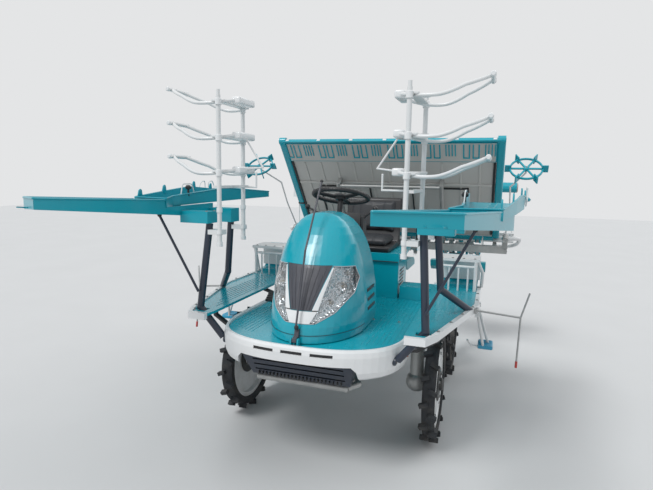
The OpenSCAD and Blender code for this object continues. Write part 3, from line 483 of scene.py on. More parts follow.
def startTree(name, inputs):
    tree = bpy.data.node_groups.new(name, "GeometryNodeTree")
    tree.interface.new_socket(name="Carrier", in_out="INPUT", socket_type="NodeSocketGeometry")
    for label, kind, value in inputs:
        tree.interface.new_socket(name=label, in_out="INPUT", socket_type=kind).default_value = value
    tree.interface.new_socket(name="Result", in_out="OUTPUT", socket_type="NodeSocketGeometry")
    return tree, addNode(tree, "NodeGroupInput").outputs


# makes a tree's copies real, paints them and hands them out
def finishTree(tree, geometry, material):
    real = addNode(tree, "GeometryNodeRealizeInstances", {"Geometry": geometry}).outputs["Geometry"]
    painted = addNode(tree, "GeometryNodeSetMaterial", {"Geometry": real, "Material": material})
    addNode(tree, "NodeGroupOutput", {"Result": painted.outputs["Geometry"]})
    return tree


# hexagon heads on washers, one at each point of the carrier, turned to the point's own facing
def boltTree():
    tree, given = startTree("boltHeads", [("Head radius", "NodeSocketFloat", 0.006),
                                          ("Head height", "NodeSocketFloat", 0.005)])
    radius, height = given["Head radius"], given["Head height"]
    head = addNode(tree, "GeometryNodeMeshCylinder", {"Vertices": 6, "Radius": radius, "Depth": height})
    lift = addNode(tree, "ShaderNodeCombineXYZ", {"Z": combine(tree, "MULTIPLY", height, 0.62)}).outputs[0]
    head = addNode(tree, "GeometryNodeTransform", {"Geometry": head.outputs["Mesh"], "Translation": lift})
    wide = combine(tree, "MULTIPLY", radius, 1.55)
    washer = addNode(tree, "GeometryNodeMeshCylinder", {"Vertices": 16, "Radius": wide, "Depth": 0.0022})
    both = addNode(tree, "GeometryNodeJoinGeometry")
    for made in (head.outputs["Geometry"], washer.outputs["Mesh"]):
        tree.links.new(made, both.inputs[0])
    facing = addNode(tree, "GeometryNodeInputNamedAttribute", {"Name": "facing"}, data_type="FLOAT_VECTOR")
    turn = addNode(tree, "FunctionNodeAlignRotationToVector", {"Vector": facing.outputs["Attribute"]},
                   axis="Z")
    placed = addNode(tree, "GeometryNodeInstanceOnPoints", {
        "Points": given["Carrier"], "Instance": both.outputs["Geometry"],
            "Rotation": turn.outputs["Rotation"]})
    return finishTree(tree, placed.outputs["Instances"], materials["zincPlate"])


# low round-topped ribs, one along each edge of the carrier
def ribTree():
    tree, given = startTree("mouldedRibs", [("Rib radius", "NodeSocketFloat", 0.002),
                                            ("Material", "NodeSocketMaterial", None)])
    path = addNode(tree, "GeometryNodeMeshToCurve", {"Mesh": given["Carrier"]}).outputs["Curve"]
    ring = addNode(tree, "GeometryNodeCurvePrimitiveCircle", {"Resolution": 8, "Radius": given["Rib radius"]})
    swept = addNode(tree, "GeometryNodeCurveToMesh", {
        "Curve": path, "Profile Curve": ring.outputs["Curve"], "Fill Caps": True})
    return finishTree(tree, swept.outputs["Mesh"], given["Material"])


boltNodes = boltTree()
ribNodes = ribTree()


def boltHeads(name, spots, body, radius=6.0, height=5.0):
    carrier = bpy.data.meshes.new(name + "Points")
    carrier.from_pydata([tuple(p) for p, n in spots], [], [])
    facing = carrier.attributes.new("facing", "FLOAT_VECTOR", "POINT")
    for i, (p, n) in enumerate(spots):
        facing.data[i].vector = n
    values = {"Head radius": radius / 1000, "Head height": height / 1000}
    return growPiece(name, carrier, boltNodes, values, "zincPlate", body)


def ribs(name, lines, body, material, radius=2.0):
    points, edges = [], []
    for line in lines:
        edges += [(len(points) + k, len(points) + k + 1) for k in range(len(line) - 1)]
        points += [tuple(p) for p in line]
    carrier = bpy.data.meshes.new(name + "Lines")
    carrier.from_pydata(points, edges, [])
    values = {"Rib radius": radius / 1000, "Material": materials[material]}
    return growPiece(name, carrier, ribNodes, values, material, body)


sides = (1, -1)
upward = Vector((0, 0, 1))
sideName = {1: "left", -1: "right"}

bonnetForm = {"halfWidth": 262, "depth": 362, "rise": 618, "foot": 704, "shoulder": -300}


# how far up the bonnet a height lies, 0 at its foot and 1 at its crown
def bonnetShare(z, inset):
    s = bonnetForm
    return min(max((z - s["foot"]) / (s["rise"] - inset), 0.0), 0.999)


# the bonnet's half width, and the skin of its nose, drawn in by inset
def bonnetHalf(z, inset=0.0):
    h = bonnetShare(z, inset)
    return bonnetForm["halfWidth"] * (1 - h ** 2.2) ** 0.38 * (0.96 + h / 3 if h < 0.12 else 1) - inset


def bonnetSkin(x, z, inset):
    s = bonnetForm
    h = bonnetShare(z, inset)
    deep = s["depth"] * (1 - h ** 1.35) ** 0.72 - inset
    across = min(abs(x) / bonnetHalf(z, inset), 0.999)
    return mm(x, s["shoulder"] - deep * math.sqrt(1 - across ** 2), z)


lampForm = {"band": (30, 7), "bandDepth": -1.2, "bowlDepth": 34, "rimRadius": 2.2, "low": 796, "split": 858,
            "high": 1066, "bowls": ((128, 892, 17, 6), (168, 962, 23, 8), (176, 1024, 15, 5))}


# the value at z between listed places and their values
def alongLine(z, points):
    for (x0, z0), (x1, z1) in zip(points, points[1:]):
        if z <= z1:
            return x0 + (x1 - x0) * max(0.0, (z - z0) / (z1 - z0))
    return points[-1][0]


def lampInner(z):
    return alongLine(z, [(0, 796), (2, 850), (56, 858), (124, 1066)])


def lampOuter(z):
    return alongLine(z, [(75, 796), (160, 845), (224, 930), (232, 1000), (212, 1058)])


def lampSplit(z):
    s = lampForm
    wide, narrow = s["band"]
    share = min(max((z - s["split"]) / (s["high"] - s["split"]), 0), 1)
    below = 52 + 34 * max(0, (z - s["low"]) / (s["split"] - s["low"]))
    return min(lampInner(z) + wide + (narrow - wide) * share if z > s["split"] else below, lampOuter(z) - 6)


# a sheet of the bonnet's form between two upright lines, depth below the skin and thick through
def sheetBetween(shape, side, left, right, low, high, depth, thick, rows=26, cols=9):
    grid = []
    for i in range(rows + 1):
        z = low + (high - low) * i / rows
        xs = [side * (left(z) + (right(z) - left(z)) * j / cols) for j in range(cols + 1)]
        grid.append([(x, z, depth(i / rows, j / cols)) for j, x in enumerate(xs)])
    addSheet(shape,
             *([[bonnetSkin(x, z, d + more) for x, z, d in row] for row in grid] for more in (0, thick)))


def bowlDepth(u, v):
    return 9.5 + lampForm["bowlDepth"] * math.sin(math.pi * u) ** 0.6 * math.sin(math.pi * v) ** 0.7


def bandDepth(u, v):
    return lampForm["bandDepth"]


# a profile turned about the bonnet's own facing at a place on its skin
def turnOnBonnet(shape, x, z, depth, profile, steps):
    facing = (bonnetSkin(x, z, 0) - bonnetSkin(x, z, 30)).normalized()
    addTurned(shape, bonnetSkin(x, z, depth), facing, profile, steps)


def makeLamps():
    s = lampForm
    band, reflectors, cups, bulbs, rims = (bmesh.new() for k in range(5))
    for side in sides:
        sheetBetween(band, side, lambda z: lampInner(z) + 1.2, lampSplit, 861, 1060, bandDepth, 2.1)
        sheetBetween(reflectors, side, lambda z: lampSplit(z) - 4, lambda z: lampOuter(z) - 1, 802, 1058,
                     bowlDepth, 2.5, 40, 14)
        for x, z, r, bulb in s["bowls"]:
            cup = [(r, 8), (r + 2, 8), (r + 2, 5), (r * 0.55, -7), (r * 0.5, -9), (0, -9), (0, -6),
                   (r * 0.45, -6), (r, 5)]
            turnOnBonnet(cups, side * x, z, 26, cup, 28)
            glass = [(0, -4), (bulb, -3), (bulb, 3), (bulb * 0.8, 6), (0, 8)]
            turnOnBonnet(bulbs, side * x, z, 27, glass, 18)
        edge = [bonnetSkin(side * lampOuter(z), z, 0.6) for z in (799 + 259 * k / 30 for k in range(31))]
        edge += [bonnetSkin(side * (212 - 86 * k / 8), 1059 + 7 * k / 8, 0.6) for k in range(1, 9)]
        addTube(rims, edge, s["rimRadius"], sides=8)
    sheetBetween(band, 1, lambda z: -lampSplit(z), lampSplit, 798, 855.5, bandDepth, 2.1, 10, 18)
    addTube(rims, [bonnetSkin(x, 797.5, 0.6) for x in range(-75, 76, 10)], s["rimRadius"], sides=8)
    finishPiece(band, "lampBand", "whiteAbs", "bonnet_lid")
    finishPiece(reflectors, "lampReflectors", "vacuumChrome", "bonnet_lid", sharp=70)
    finishPiece(cups, "lampCups", "vacuumChrome", "bonnet_lid")
    finishPiece(bulbs, "lampBulbs", "bulbGlass", "bonnet_lid")
    finishPiece(rims, "lampRims", "paleGreyAbs", "bonnet_lid")


def makeBonnetDetails():
    shape = bmesh.new()
    # black blocks fill the three louvre slots on each side, painted shade for the dark inside the openings,
    # each with a thin black bar along its middle
    for side in sides:
        for z in (809, 859, 909):
            half = bonnetHalf(z)
            addBlock(shape, (side * (half - 4) - 7, -280, z - 8.7), (side * (half - 4) + 7, -130, z + 8.7),
                     2.0)
            addBlock(shape, (side * (half - 1) - 3, -276, z - 2), (side * (half - 1) + 3, -134, z + 2), 1.0)
    finishPiece(shape, "louvreSlatsAndShade", "blackAbs", "bonnet_lid")
    # ribs pressed into the blank badge panel, and the seam where the lid meets its lower skirt
    lines = []
    for k in range(7):
        share = (k - 3) / 3.6
        lines.append([bonnetSkin((52 + 62 * t) * share, 864 + 196 * t, 0.4)
                      for t in (i / 14 for i in range(15))])
    ribs("badgeRibs", lines, "bonnet_lid", "greyAbs", 1.5)
    seamZ = 742
    seam = [bonnetSkin(bonnetHalf(seamZ) * math.sin(math.radians(d)), seamZ, -0.4) for d in range(-86, 87, 4)]
    ribs("bonnetSeam", [seam], "bonnet_lid", "blackAbs", 1.2)
    shape = bmesh.new()
    addTube(shape, [mm(0, -332, 1487), mm(0, -328, 1493)], 8.5, sides=14)
    addTurned(shape, mm(0, -668, 786), upward, [(0, -9), (9, -9), (11, -6), (11, 4), (8, 9), (0, 9)], 20)
    finishPiece(shape, "markerKnob", "blackAbs", "bonnet_lid")


makeLamps()
makeBonnetDetails()
print("bonnet dressed")

deckForm = {"half": 484, "reach": 386, "front": -330, "power": 0.76, "ribPitch": 24, "ribRadius": 1.7,
            "top": 700, "wingTop": 790, "bonnetHalf": 170, "slotHeights": (671.6, 688.4)}


# the curved front edge of the deck, grown outwards by grow
def deckFront(x, grow):
    s = deckForm
    c = min(1.0, (abs(x) / (s["half"] + grow)) ** (1 / s["power"]))
    return s["front"] - (s["reach"] + grow) * math.sqrt(1 - c * c) ** s["power"]


def makeDeckDetails():
    s = deckForm
    # black sheets in the three bumper slots: painted shade for the dark of the openings
    shape = bmesh.new()
    for middle in (-150, 0, 150):
        xs = [middle - 55.4 + 110.8 * k / 12 for k in range(13)]
        sheet = lambda grow: [[mm(x, deckFront(x, grow), z) for x in xs] for z in s["slotHeights"]]
        addSheet(shape, sheet(16), sheet(4))
    finishPiece(shape, "bumperSlotShade", "blackAbs", "vehicle")
    # ribs of the deck beside the bonnet and behind it, then those of its wings
    pitch = s["ribPitch"]
    lines = []
    for side in sides:
        for k in range(8):
            x = 296 + k * pitch
            front = -330 - 250 * (1 - ((x - 200) / 290) ** 2) ** 0.5
            lines.append([mm(side * x, front, s["top"]), mm(side * x, 418 if x < 470 else 200, s["top"])])
    for k in range(-9, 10):
        if abs(k * pitch) > s["bonnetHalf"]:
            lines.append([mm(k * pitch, y, s["top"]) for y in (-60, 425)])
    ribs("deckRibs", lines, "vehicle", "tealAbs", s["ribRadius"])
    lines = []
    for side in sides:
        for k in range(7):
            x = 560 + k * pitch
            lines.append([mm(side * x, y, s["wingTop"]) for y in (-480 + (x - 560) * 2.4, 432)])
    ribs("wingRibs", lines, "vehicle", "tealAbs", s["ribRadius"])
    # amber side reflectors behind the bumper's corners
    shape = bmesh.new()
    for side in sides:
        addTurned(shape, mm(side * 503, -430, 640), (side, 0, 0),
                  [(0, -4), (17, -4), (17, 5), (14, 8), (0, 9)], 24)
    finishPiece(shape, "sideReflectors", "amberLens", "vehicle")
    shape = bmesh.new()
    for k in range(-11, 12):
        addBlock(shape, (k * 20 - 2, -634, 504), (k * 20 + 2, -606, 520), 1.0)
    for z in (524, 548, 580):
        addBlock(shape, (-252, -612 + (528 - z) * 0.53 - 7, z - 3),
                 (252, -612 + (528 - z) * 0.53 + 4, z + 1), 1.2)
    finishPiece(shape, "grilleBars", "blackAbs", "vehicle")


makeDeckDetails()
print("deck dressed")


def makeControls():
    # instrument pod over the dash, with its dials and switches
    shape = bmesh.new()
    hood = [(-76, 1188), (-64, 1296), (12, 1246), (33, 1118), (44, 1118), (24, 1254), (-62, 1312),
            (-86, 1192)]
    addPrism(shape, hood, -150, 150, fromSide, 4.0)
    for x in (-120, 120):
        addBlock(shape, (x - 26, -20, 1216), (x + 26, 38, 1262), 9, segments=3)
    finishPiece(shape, "dashHood", "blackAbs", "vehicle")
    shape = bmesh.new()
    face = Vector((0, 0.93, 0.36)).normalized()
    r = 34
    for x in (-62, 62):
        addTurned(shape, mm(x, 34, 1192), face,
                  [(0, 0), (r, 0), (r + 4, 3), (r + 4, 7), (r, 9), (r - 3, 6), (0, 6)], 36)
    for x in (-105, -20, 20, 105):
        addTurned(shape, mm(x, 40, 1148), face, [(0, -2), (9, -2), (9, 8), (6, 11), (0, 11)], 20)
    finishPiece(shape, "dashDials", "paleGreyAbs", "vehicle")
    # battery box with its lid and two terminals
    shape = bmesh.new()
    addBlock(shape, (-472, 248, 701), (-318, 422, 826), 7, segments=3)
    addBlock(shape, (-476, 244, 822), (-314, 426, 846), 6, segments=3)
    for y in (285, 385):
        addTurned(shape, mm(-395, y, 846), upward, [(0, -2), (13, -2), (13, 8), (9, 12), (0, 12)], 20)
    addBlock(shape, (-440, 330, 844), (-350, 342, 856), 3)
    finishPiece(shape, "batteryBox", "paleGreyAbs", "vehicle")
    shape = bmesh.new()
    for x in (-400, -335):
        for k in range(5):
            addBlock(shape, (x - 25, -133 + k * 13, 758 + k * 9.2), (x + 25, -125 + k * 13, 765 + k * 9.2),
                     1.5)
    finishPiece(shape, "pedalRubbers", "blackAbs", "vehicle")
    # hub cap, spoke shrouds and finger grips of the steering wheel
    shape = bmesh.new()
    tilt = math.radians(16)
    foot, rimRadius, rimHeight = (-30, 1200), 163, 208
    column = lambda x, y, z: mm(x, foot[0] + y * math.cos(tilt) + z * math.sin(tilt),
                                foot[1] - y * math.sin(tilt) + z * math.cos(tilt))
    axis = Vector((0, math.sin(tilt), math.cos(tilt)))
    addTurned(shape, column(0, 0, 204), axis, [(0, -8), (46, -6), (50, 2), (44, 11), (24, 16), (0, 17)], 36)
    for turn in (90, 210, 330):
        a = math.radians(turn)
        along = lambda r, w, z: column(r * math.cos(a) - w * math.sin(a), r * math.sin(a) + w * math.cos(a),
                                       z)
        addBlock(shape, (34, -15, 195), (150, 15, 210), 6, lambda r, w, z: along(r, w, z + (r - 34) * 0.06),
                 3)
    grips = 44
    for k in range(grips):
        a = 2 * math.pi * k / grips
        p = column(rimRadius * math.cos(a), rimRadius * math.sin(a), rimHeight)
        out = (p - column(0, 0, rimHeight)).normalized()
        ring = [p + (out * math.cos(b) + axis * math.sin(b)) * 0.0134
                for b in (2 * math.pi * j / 10 for j in range(11))]
        addTube(shape, ring, 1.5, sides=6)
    finishPiece(shape, "steeringDress", "blackAbs", "steering_wheel")


makeControls()
print("controls dressed")

seatForm = {"voxel": 0.007, "pressure": 4.0, "cap": 0.010, "frames": 20, "stiffness": 20, "seamDepth": 5.0,
            "seamWidth": 5.0, "seatLean": math.atan2(60, 250)}


# the mesh that a piece's modifiers make, in place of its own
def applyModifiers(piece):
    bpy.context.view_layer.update()
    mesh = bpy.data.meshes.new_from_object(piece.evaluated_get(bpy.context.evaluated_depsgraph_get()))
    piece.modifiers.clear()
    piece.data = mesh


# a pad swells under air pressure inside its cover, no further than the cap
def swell(name, shape):
    s = seatForm
    mesh = bpy.data.meshes.new(name)
    bmesh.ops.recalc_face_normals(shape, faces=shape.faces)
    shape.to_mesh(mesh)
    shape.free()
    piece = linkObject(name, mesh)
    bpy.context.view_layer.objects.active = piece
    remesh = piece.modifiers.new("remesh", "REMESH")
    remesh.mode = "VOXEL"
    remesh.voxel_size = s["voxel"]
    applyModifiers(piece)
    start = [v.co.copy() for v in piece.data.vertices]
    cloth = piece.modifiers.new("cloth", "CLOTH")
    cloth.settings.use_pressure = True
    cloth.settings.uniform_pressure_force = s["pressure"]
    cloth.settings.effector_weights.gravity = 0
    cloth.settings.quality = 5
    cloth.settings.tension_stiffness = cloth.settings.compression_stiffness = s["stiffness"]
    cloth.point_cache.frame_end = s["frames"]
    for number in range(1, s["frames"] + 1):
        bpy.context.scene.frame_set(number)
    applyModifiers(piece)
    for v, p in zip(piece.data.vertices, start):
        move = v.co - p
        if move.length > s["cap"]:
            v.co = p + move.normalized() * s["cap"]
    bpy.context.scene.frame_set(1)
    return piece


# sewn channels pressed into the pad's face
def sewPad(piece, channels):
    s = seatForm
    for v in piece.data.vertices:
        for where in channels:
            gap = (v.co.x * 1000 - where) / s["seamWidth"]
            if abs(gap) < 3:
                v.co -= v.normal * s["seamDepth"] / 1000 * math.exp(-gap * gap)
    smooth = piece.modifiers.new("smooth", "SUBSURF")
    smooth.levels = smooth.render_levels = 1
    applyModifiers(piece)
    for face in piece.data.polygons:
        face.use_smooth = True


def leaning(x, n, s):
    lean = seatForm["seatLean"]
    return mm(x, 846 + n * math.cos(lean) + s * math.sin(lean),
              1112 - n * math.sin(lean) + s * math.cos(lean))


def makeSeat():
    shape = bmesh.new()
    addPrism(shape,
             [(474, 1006), (466, 1036), (478, 1046), (838, 1040), (862, 1120), (908, 1352), (926, 1366),
              (943, 1362), (948, 1338), (898, 1006)], -210, 210, fromSide, 9.0, 3)
    finishPiece(shape, "seatShell", "blackAbs", "vehicle", ("seat",))
    for name, low, high, soft, place, channels in (
            ("seatCushion", (-188, 486, 1046), (188, 822, 1094), 21, mm, (-96, 96)),
            ("seatBackPad", (-180, -6, 0), (180, 36, 244), 19, leaning, (-90, 90))):
        shape = bmesh.new()
        addBlock(shape, low, high, soft, place, 4)
        pad = swell(name, shape)
        sewPad(pad, channels)
        keepPiece(pad, "seatVinyl", "vehicle")


makeSeat()
print("seat padded")

rowPitch = 300
rowMiddles = [(k - 2.5) * rowPitch for k in range(6)]
platformForm = {"lineWidth": 1.6, "bar": 904, "back": -14, "slotTop": -24.6, "slotFoot": -30}


def makePlatformRear():
    s = platformForm
    shape = bmesh.new()
    for middle in rowMiddles:
        for off in (-62, 0, 62):
            x = middle + off
            addBlock(shape, (x - s["lineWidth"], 474, -0.2), (x + s["lineWidth"], 905, 0.6), 0.3, slope, 1)
        addBlock(shape, (middle - 96, 462, 0), (middle + 96, 470, 9), 2.5, slope)
        addBlock(shape, (middle - 96, 30, 0), (middle + 96, 42, 12), 3, slope)
    finishPiece(shape, "laneLines", "greyAbs", "platform")
    # stiffening ribs between the lanes with their rows of bosses, and the ribs of the top strip
    shape = bmesh.new()
    for seam in (k * rowPitch for k in range(-2, 3)):
        for low, high in ((-16, -8), (8, 16)):
            addBlock(shape, (seam + low, 12, 0), (seam + high, 900, 9), 2.5, slope)
        for t in range(12):
            addTurned(shape, slope(seam, 40 + t * 36, 17), slope(0, 0, 1) - slope(0, 0, 0),
                      [(0, -1), (4.6, -1), (4.6, 2), (3, 3.6), (0, 3.6)], 10)
    for middle in rowMiddles:
        for x in (middle - 112 + k * 46 for k in range(6)):
            addBlock(shape, (x - 6, 918, 0), (x + 4, 1084, 3), 1.5, slope)
    finishPiece(shape, "sheetRibs", "whiteAbs", "platform")
    shape = bmesh.new()
    for side in sides:
        addBlock(shape, (side * s["bar"] - 20, 846, 30), (side * s["bar"] + 20, 918, 35.5), 2, slope)
    finishPiece(shape, "rearReflectors", "amberLens", "platform")
    # wire loops over two of the belts, hooks below the top bar, and bows beside the frame
    shape = bmesh.new()
    loop = [(-32, 452, 4), (-32, 330, 26), (-24, 236, 34), (24, 236, 34), (32, 330, 26), (32, 452, 4)]
    for middle in (750, -150):
        addTube(shape, run(loop, 1, middle, slope), 4, 30, 10)
    hook = [(0, 838, 60), (16, 800, 52), (-6, 764, 40), (-2, 742, 12)]
    for x in (-560, 330, 610):
        addTube(shape, run(hook, 1, x, slope), 3, 20, 8)
    bow = [(868, 838, 62), (830, 700, 58), (848, 560, 40), (882, 520, 32)]
    for side in sides:
        addTube(shape, run(bow, side, 0, slope), 3.4, 40, 8)
    finishPiece(shape, "holdingLoops", "zincPlate", "platform")
    shape = bmesh.new()
    addPrism(shape, [(-34, -31.5), (34, -31.5), (34, 35), (-34, 35)], 372, 392,
             lambda u, v, w: slope(u * 0.92 - s["bar"], w, v), 6)
    finishPiece(shape, "frameStrap", "blackAbs", "platform")


def makePlatformFront():
    s = platformForm
    shape = bmesh.new()
    addBlock(shape, (-866, 34, -15.5), (866, 896, -12.3), 1, slope, 1)
    addBlock(shape, (-866, 906, -25), (866, 1084, -22.2), 1, slope, 1)
    for x in (k * rowPitch / 2 for k in range(-5, 6)):
        addBlock(shape, (x - 9, 60, -22), (x + 9, 880, s["back"]), 4, slope)
    for foot in (640, 250):
        addBlock(shape, (-850, foot, -27), (850, foot + 24, s["back"]), 5, slope)
    finishPiece(shape, "backSheet", "panelSheet", "platform")
    shape = bmesh.new()

    def slot(x, half, foot, top):
        addBlock(shape, (x - half, foot, s["slotFoot"]), (x + half, top, s["slotTop"]), 1.5, slope, 1)

    for middle in rowMiddles:
        for x in (middle - 104, middle - 32):
            for wing in (-22, 22):
                slot(x + wing, 5, 946, 1076)
            slot(x, 27, 938, 950)
        for off in (38, 62, 86, 110):
            slot(middle + off, 4.5, 962, 1076)
    finishPiece(shape, "slotPattern", "tealAbs", "platform")
    shape = bmesh.new()
    for x in ((k - 3) * 285 for k in range(7)):
        addBlock(shape, (x - 15, 1108, -20), (x + 15, 1121, 0), 4, slope)
    finishPiece(shape, "rimCaps", "whiteAbs", "platform")
    # dark stiffener frames seen from the driver's side, and a black strip at each opening, painted shade for
    # the dark seen through the openings
    shape = bmesh.new()
    for side in sides:
        bends = [(side * 190, 300), (side * 190, 610), (side * 660, 610), (side * 660, 300)]
        for ends in zip(bends, bends[1:]):
            xs, rows = zip(*ends)
            addBlock(shape, (min(xs) - 6, min(rows) - 6, -30), (max(xs) + 6, max(rows) + 6, s["back"]), 2.5,
                     slope)
        addBlock(shape, (side * 425 - 205, 205, -20), (side * 425 + 205, 246, -14.2), 2, slope)
    for x in (-862, 862):
        addBlock(shape, (x - 10, 60, -26), (x + 10, 890, -12.4), 3, slope)
    finishPiece(shape, "backStiffenersAndOpeningShade", "blackEnamel", "platform")


makePlatformRear()
makePlatformFront()
print("platform dressed")

railForm = {
    "hemRadius": 4.2, "floorRib": 2.4, "base": 1300, "fold": 2,
    "front": [(700, -714), (573, -1584), (800, -1430), (904, -708)],
    "rear": [(716, 532), (742, -50), (742, -598), (694, -716), (912, -690), (978, -300), (1034, 120),
             (1048, 420),
             (1040, 524)],
    "frontTop": [(-1600, 127), (-200, 60)], "rearTop": [(-720, 92), (-50, 138), (560, 101)],
    "frontFloor": [(-1600, 94), (-200, -32)], "rearFloor": [(-720, 50), (560, 68)],
}


# height of a rail's edge or floor at a place along it, from the heights listed for it
def railHeight(y, which):
    points = railForm[which]
    for (y0, h0), (y1, h1) in zip(points, points[1:]):
        if y <= y1:
            return railForm["base"] + h0 + (h1 - h0) * (y - y0) / (y1 - y0)
    return railForm["base"] + points[-1][1]


# a bent line cut into count even steps to each stretch
def spaced(points, count):
    path = []
    for (x0, y0), (x1, y1) in zip(points, points[1:]):
        path += [(x0 + (x1 - x0) * k / count, y0 + (y1 - y0) * k / count) for k in range(count)]
    return path + [points[-1]]


def makeRails():
    s = railForm
    shape = bmesh.new()
    lines = []
    for side in sides:
        for edge, count in (("front", 8), ("rear", 6)):
            path = [(x, y, railHeight(y, edge + "Top") - s["fold"]) for x, y in spaced(s[edge], count)]
            addTube(shape, run(path, side), s["hemRadius"], 12, 8)
        for share in (0.25, 0.5, 0.75):
            front = [(600 + share * 190 + (y + 1560) * 0.131, y) for y in range(-1500, -779, 90)]
            rear = [(752 + share * 170 + max(0, y + 690) * 0.05, y) for y in range(-680, 521, 80)]
            lines += [run([(x, y, railHeight(y, floor)) for x, y in line], side)
                      for line, floor in ((front, "frontFloor"), (rear, "rearFloor"))]
        # upright lugs along the rear run, and the round cap near its end
        for x, y in ((905, -655), (958, -380), (1010, 0), (1040, 250)):
            addPrism(shape, [(-22, 0), (22, 0), (14, 46), (4, 52), (-8, 44)], -4, 4,
                     lambda u, v, w: mm(side * (x + w), y + u, railHeight(y, "rearTop") - 14 + v), 2.5)
        addTurned(shape, mm(side * 1052, 470, 1402), (side * 0.3, 0.2, 1),
                  [(0, -14), (22, -14), (34, -6), (36, 4), (24, 12), (0, 15)], 28)
        addBlock(shape, (side * 1043 - 9, 440, 1360), (side * 1043 + 9, 500, 1400), 4)
    finishPiece(shape, "railHems", "tealEnamel", "vehicle")
    ribs("railFloorRibs", lines, "vehicle", "tealEnamel", s["floorRib"])
    shape = bmesh.new()
    for side in sides:
        for y, lean in ((150, 30), (300, -25)):
            latch = [(1040, y - 45, 1372), (1052, y - 40 + lean, 1460), (1052, y + 20 + lean, 1478),
                     (1046, y + 45, 1374)]
            addTube(shape, run(latch, side), 3.6, 26, 8)
        handle = [(745, -520, 1400), (748, -500, 1462), (748, -410, 1462), (745, -390, 1404)]
        addTube(shape, run(handle, side), 3.2, 18, 8)
    finishPiece(shape, "latchWires", "whiteEnamel", "vehicle")
    shape = bmesh.new()
    for side in sides:
        addTurned(shape, mm(side * 745, -450, 1400), upward,
                  [(0, -6), (6, -6), (6, 30), (15, 34), (17, 44), (11, 54), (0, 56)], 20)
        addTurned(shape, mm(side * 806, -628, 1301), (side * 0.1, -0.3, 1),
                  [(0, -10), (10, -10), (12, 0), (9, 8), (0, 9)], 16)
    finishPiece(shape, "railKnobs", "blackAbs", "vehicle")


tierForm = {"wire": 9.0, "start": 425, "reach": 418, "middle": -393, "heights": (1900, 1720, 1540),
            "bracket": 428.5, "tipX": 838, "tipRise": 72, "posts": ((488, -552), (519, -234))}


def makeRacks():
    s = tierForm
    shape = bmesh.new()
    bolts = []
    for side in sides:
        x = side * s["bracket"]
        for z in s["heights"]:
            addBlock(shape, (x - 26, -480, z - 18), (x + 26, -306, z + 20), 9, segments=3)
            for y, turn in ((-482, 1), (-304, -1)):
                addTurned(shape, mm(side * s["tipX"], y, z + s["tipRise"]), (0, turn, 0),
                          [(0, -10), (9, -10), (13, -5), (13, 6), (0, 6)], 16)
            for postX, postY in s["posts"]:
                addTurned(shape, mm(side * postX, postY, z - 12), upward,
                          [(0, -20), (17, -20), (17, 10), (14, 13), (0, 13)], 24)
                bolts.append((mm(side * (postX + 17), postY, z - 17), Vector((side, 0, 0))))
        for postX, postY in s["posts"]:
            for z in (1150, 1214, 1330):
                addTurned(shape, mm(side * postX, postY, z), upward,
                          [(0, -11), (15.5, -11), (15.5, 11), (0, 11)], 24)
    finishPiece(shape, "rackCaps", "whiteAbs", "vehicle")
    boltHeads("rackBolts", bolts, "vehicle", 5, 4)


# the two wires of a tier bow apart and meet at a raised tip
def tierWire(t, side, z):
    s = tierForm
    bow = 40 + 118 * math.sin(math.pi * t ** 0.75) ** 0.7 if 0 < t < 1 else 40
    rise = 2 - 22 * math.sin(math.pi * min(1, t * 1.4)) + 74 * (max(0, t - 0.45) / 0.55) ** 1.6
    return s["start"] + s["reach"] * t, s["middle"] + side * bow, z + rise


def makeTiers():
    s = tierForm
    shape = bmesh.new()
    for side in sides:
        for z in s["heights"]:
            for wing in sides:
                addTube(shape, run([tierWire(k / 36, wing, z) for k in range(37)], side), s["wire"], sides=14)
            tip = [(s["tipX"], y, z + s["tipRise"]) for y in (-478, -308)]
            addTube(shape, run(tip, side), s["wire"] + 2, sides=16)
            for x, half, y0, y1, low, high, soft in ((s["bracket"], 23.5, -476, -310, -14, 16, 4),
                                                     (503, 57, -402, -384, -6, 6, 3),
                                                     (503.5, 25.5, -552, -234, -14, -2, 3)):
                addBlock(shape, (side * x - half, y0, z + low), (side * x + half, y1, z + high), soft)
    finishPiece(shape, "rackTiers", "whiteEnamel", "vehicle", ["rack_tiers"])


makeRails()
makeTiers()
makeRacks()
print("rails and racks dressed")


wheelForm = {"halfTrack": 605, "front": (0, 325), "rear": (1074, 475), "padCount": 6}


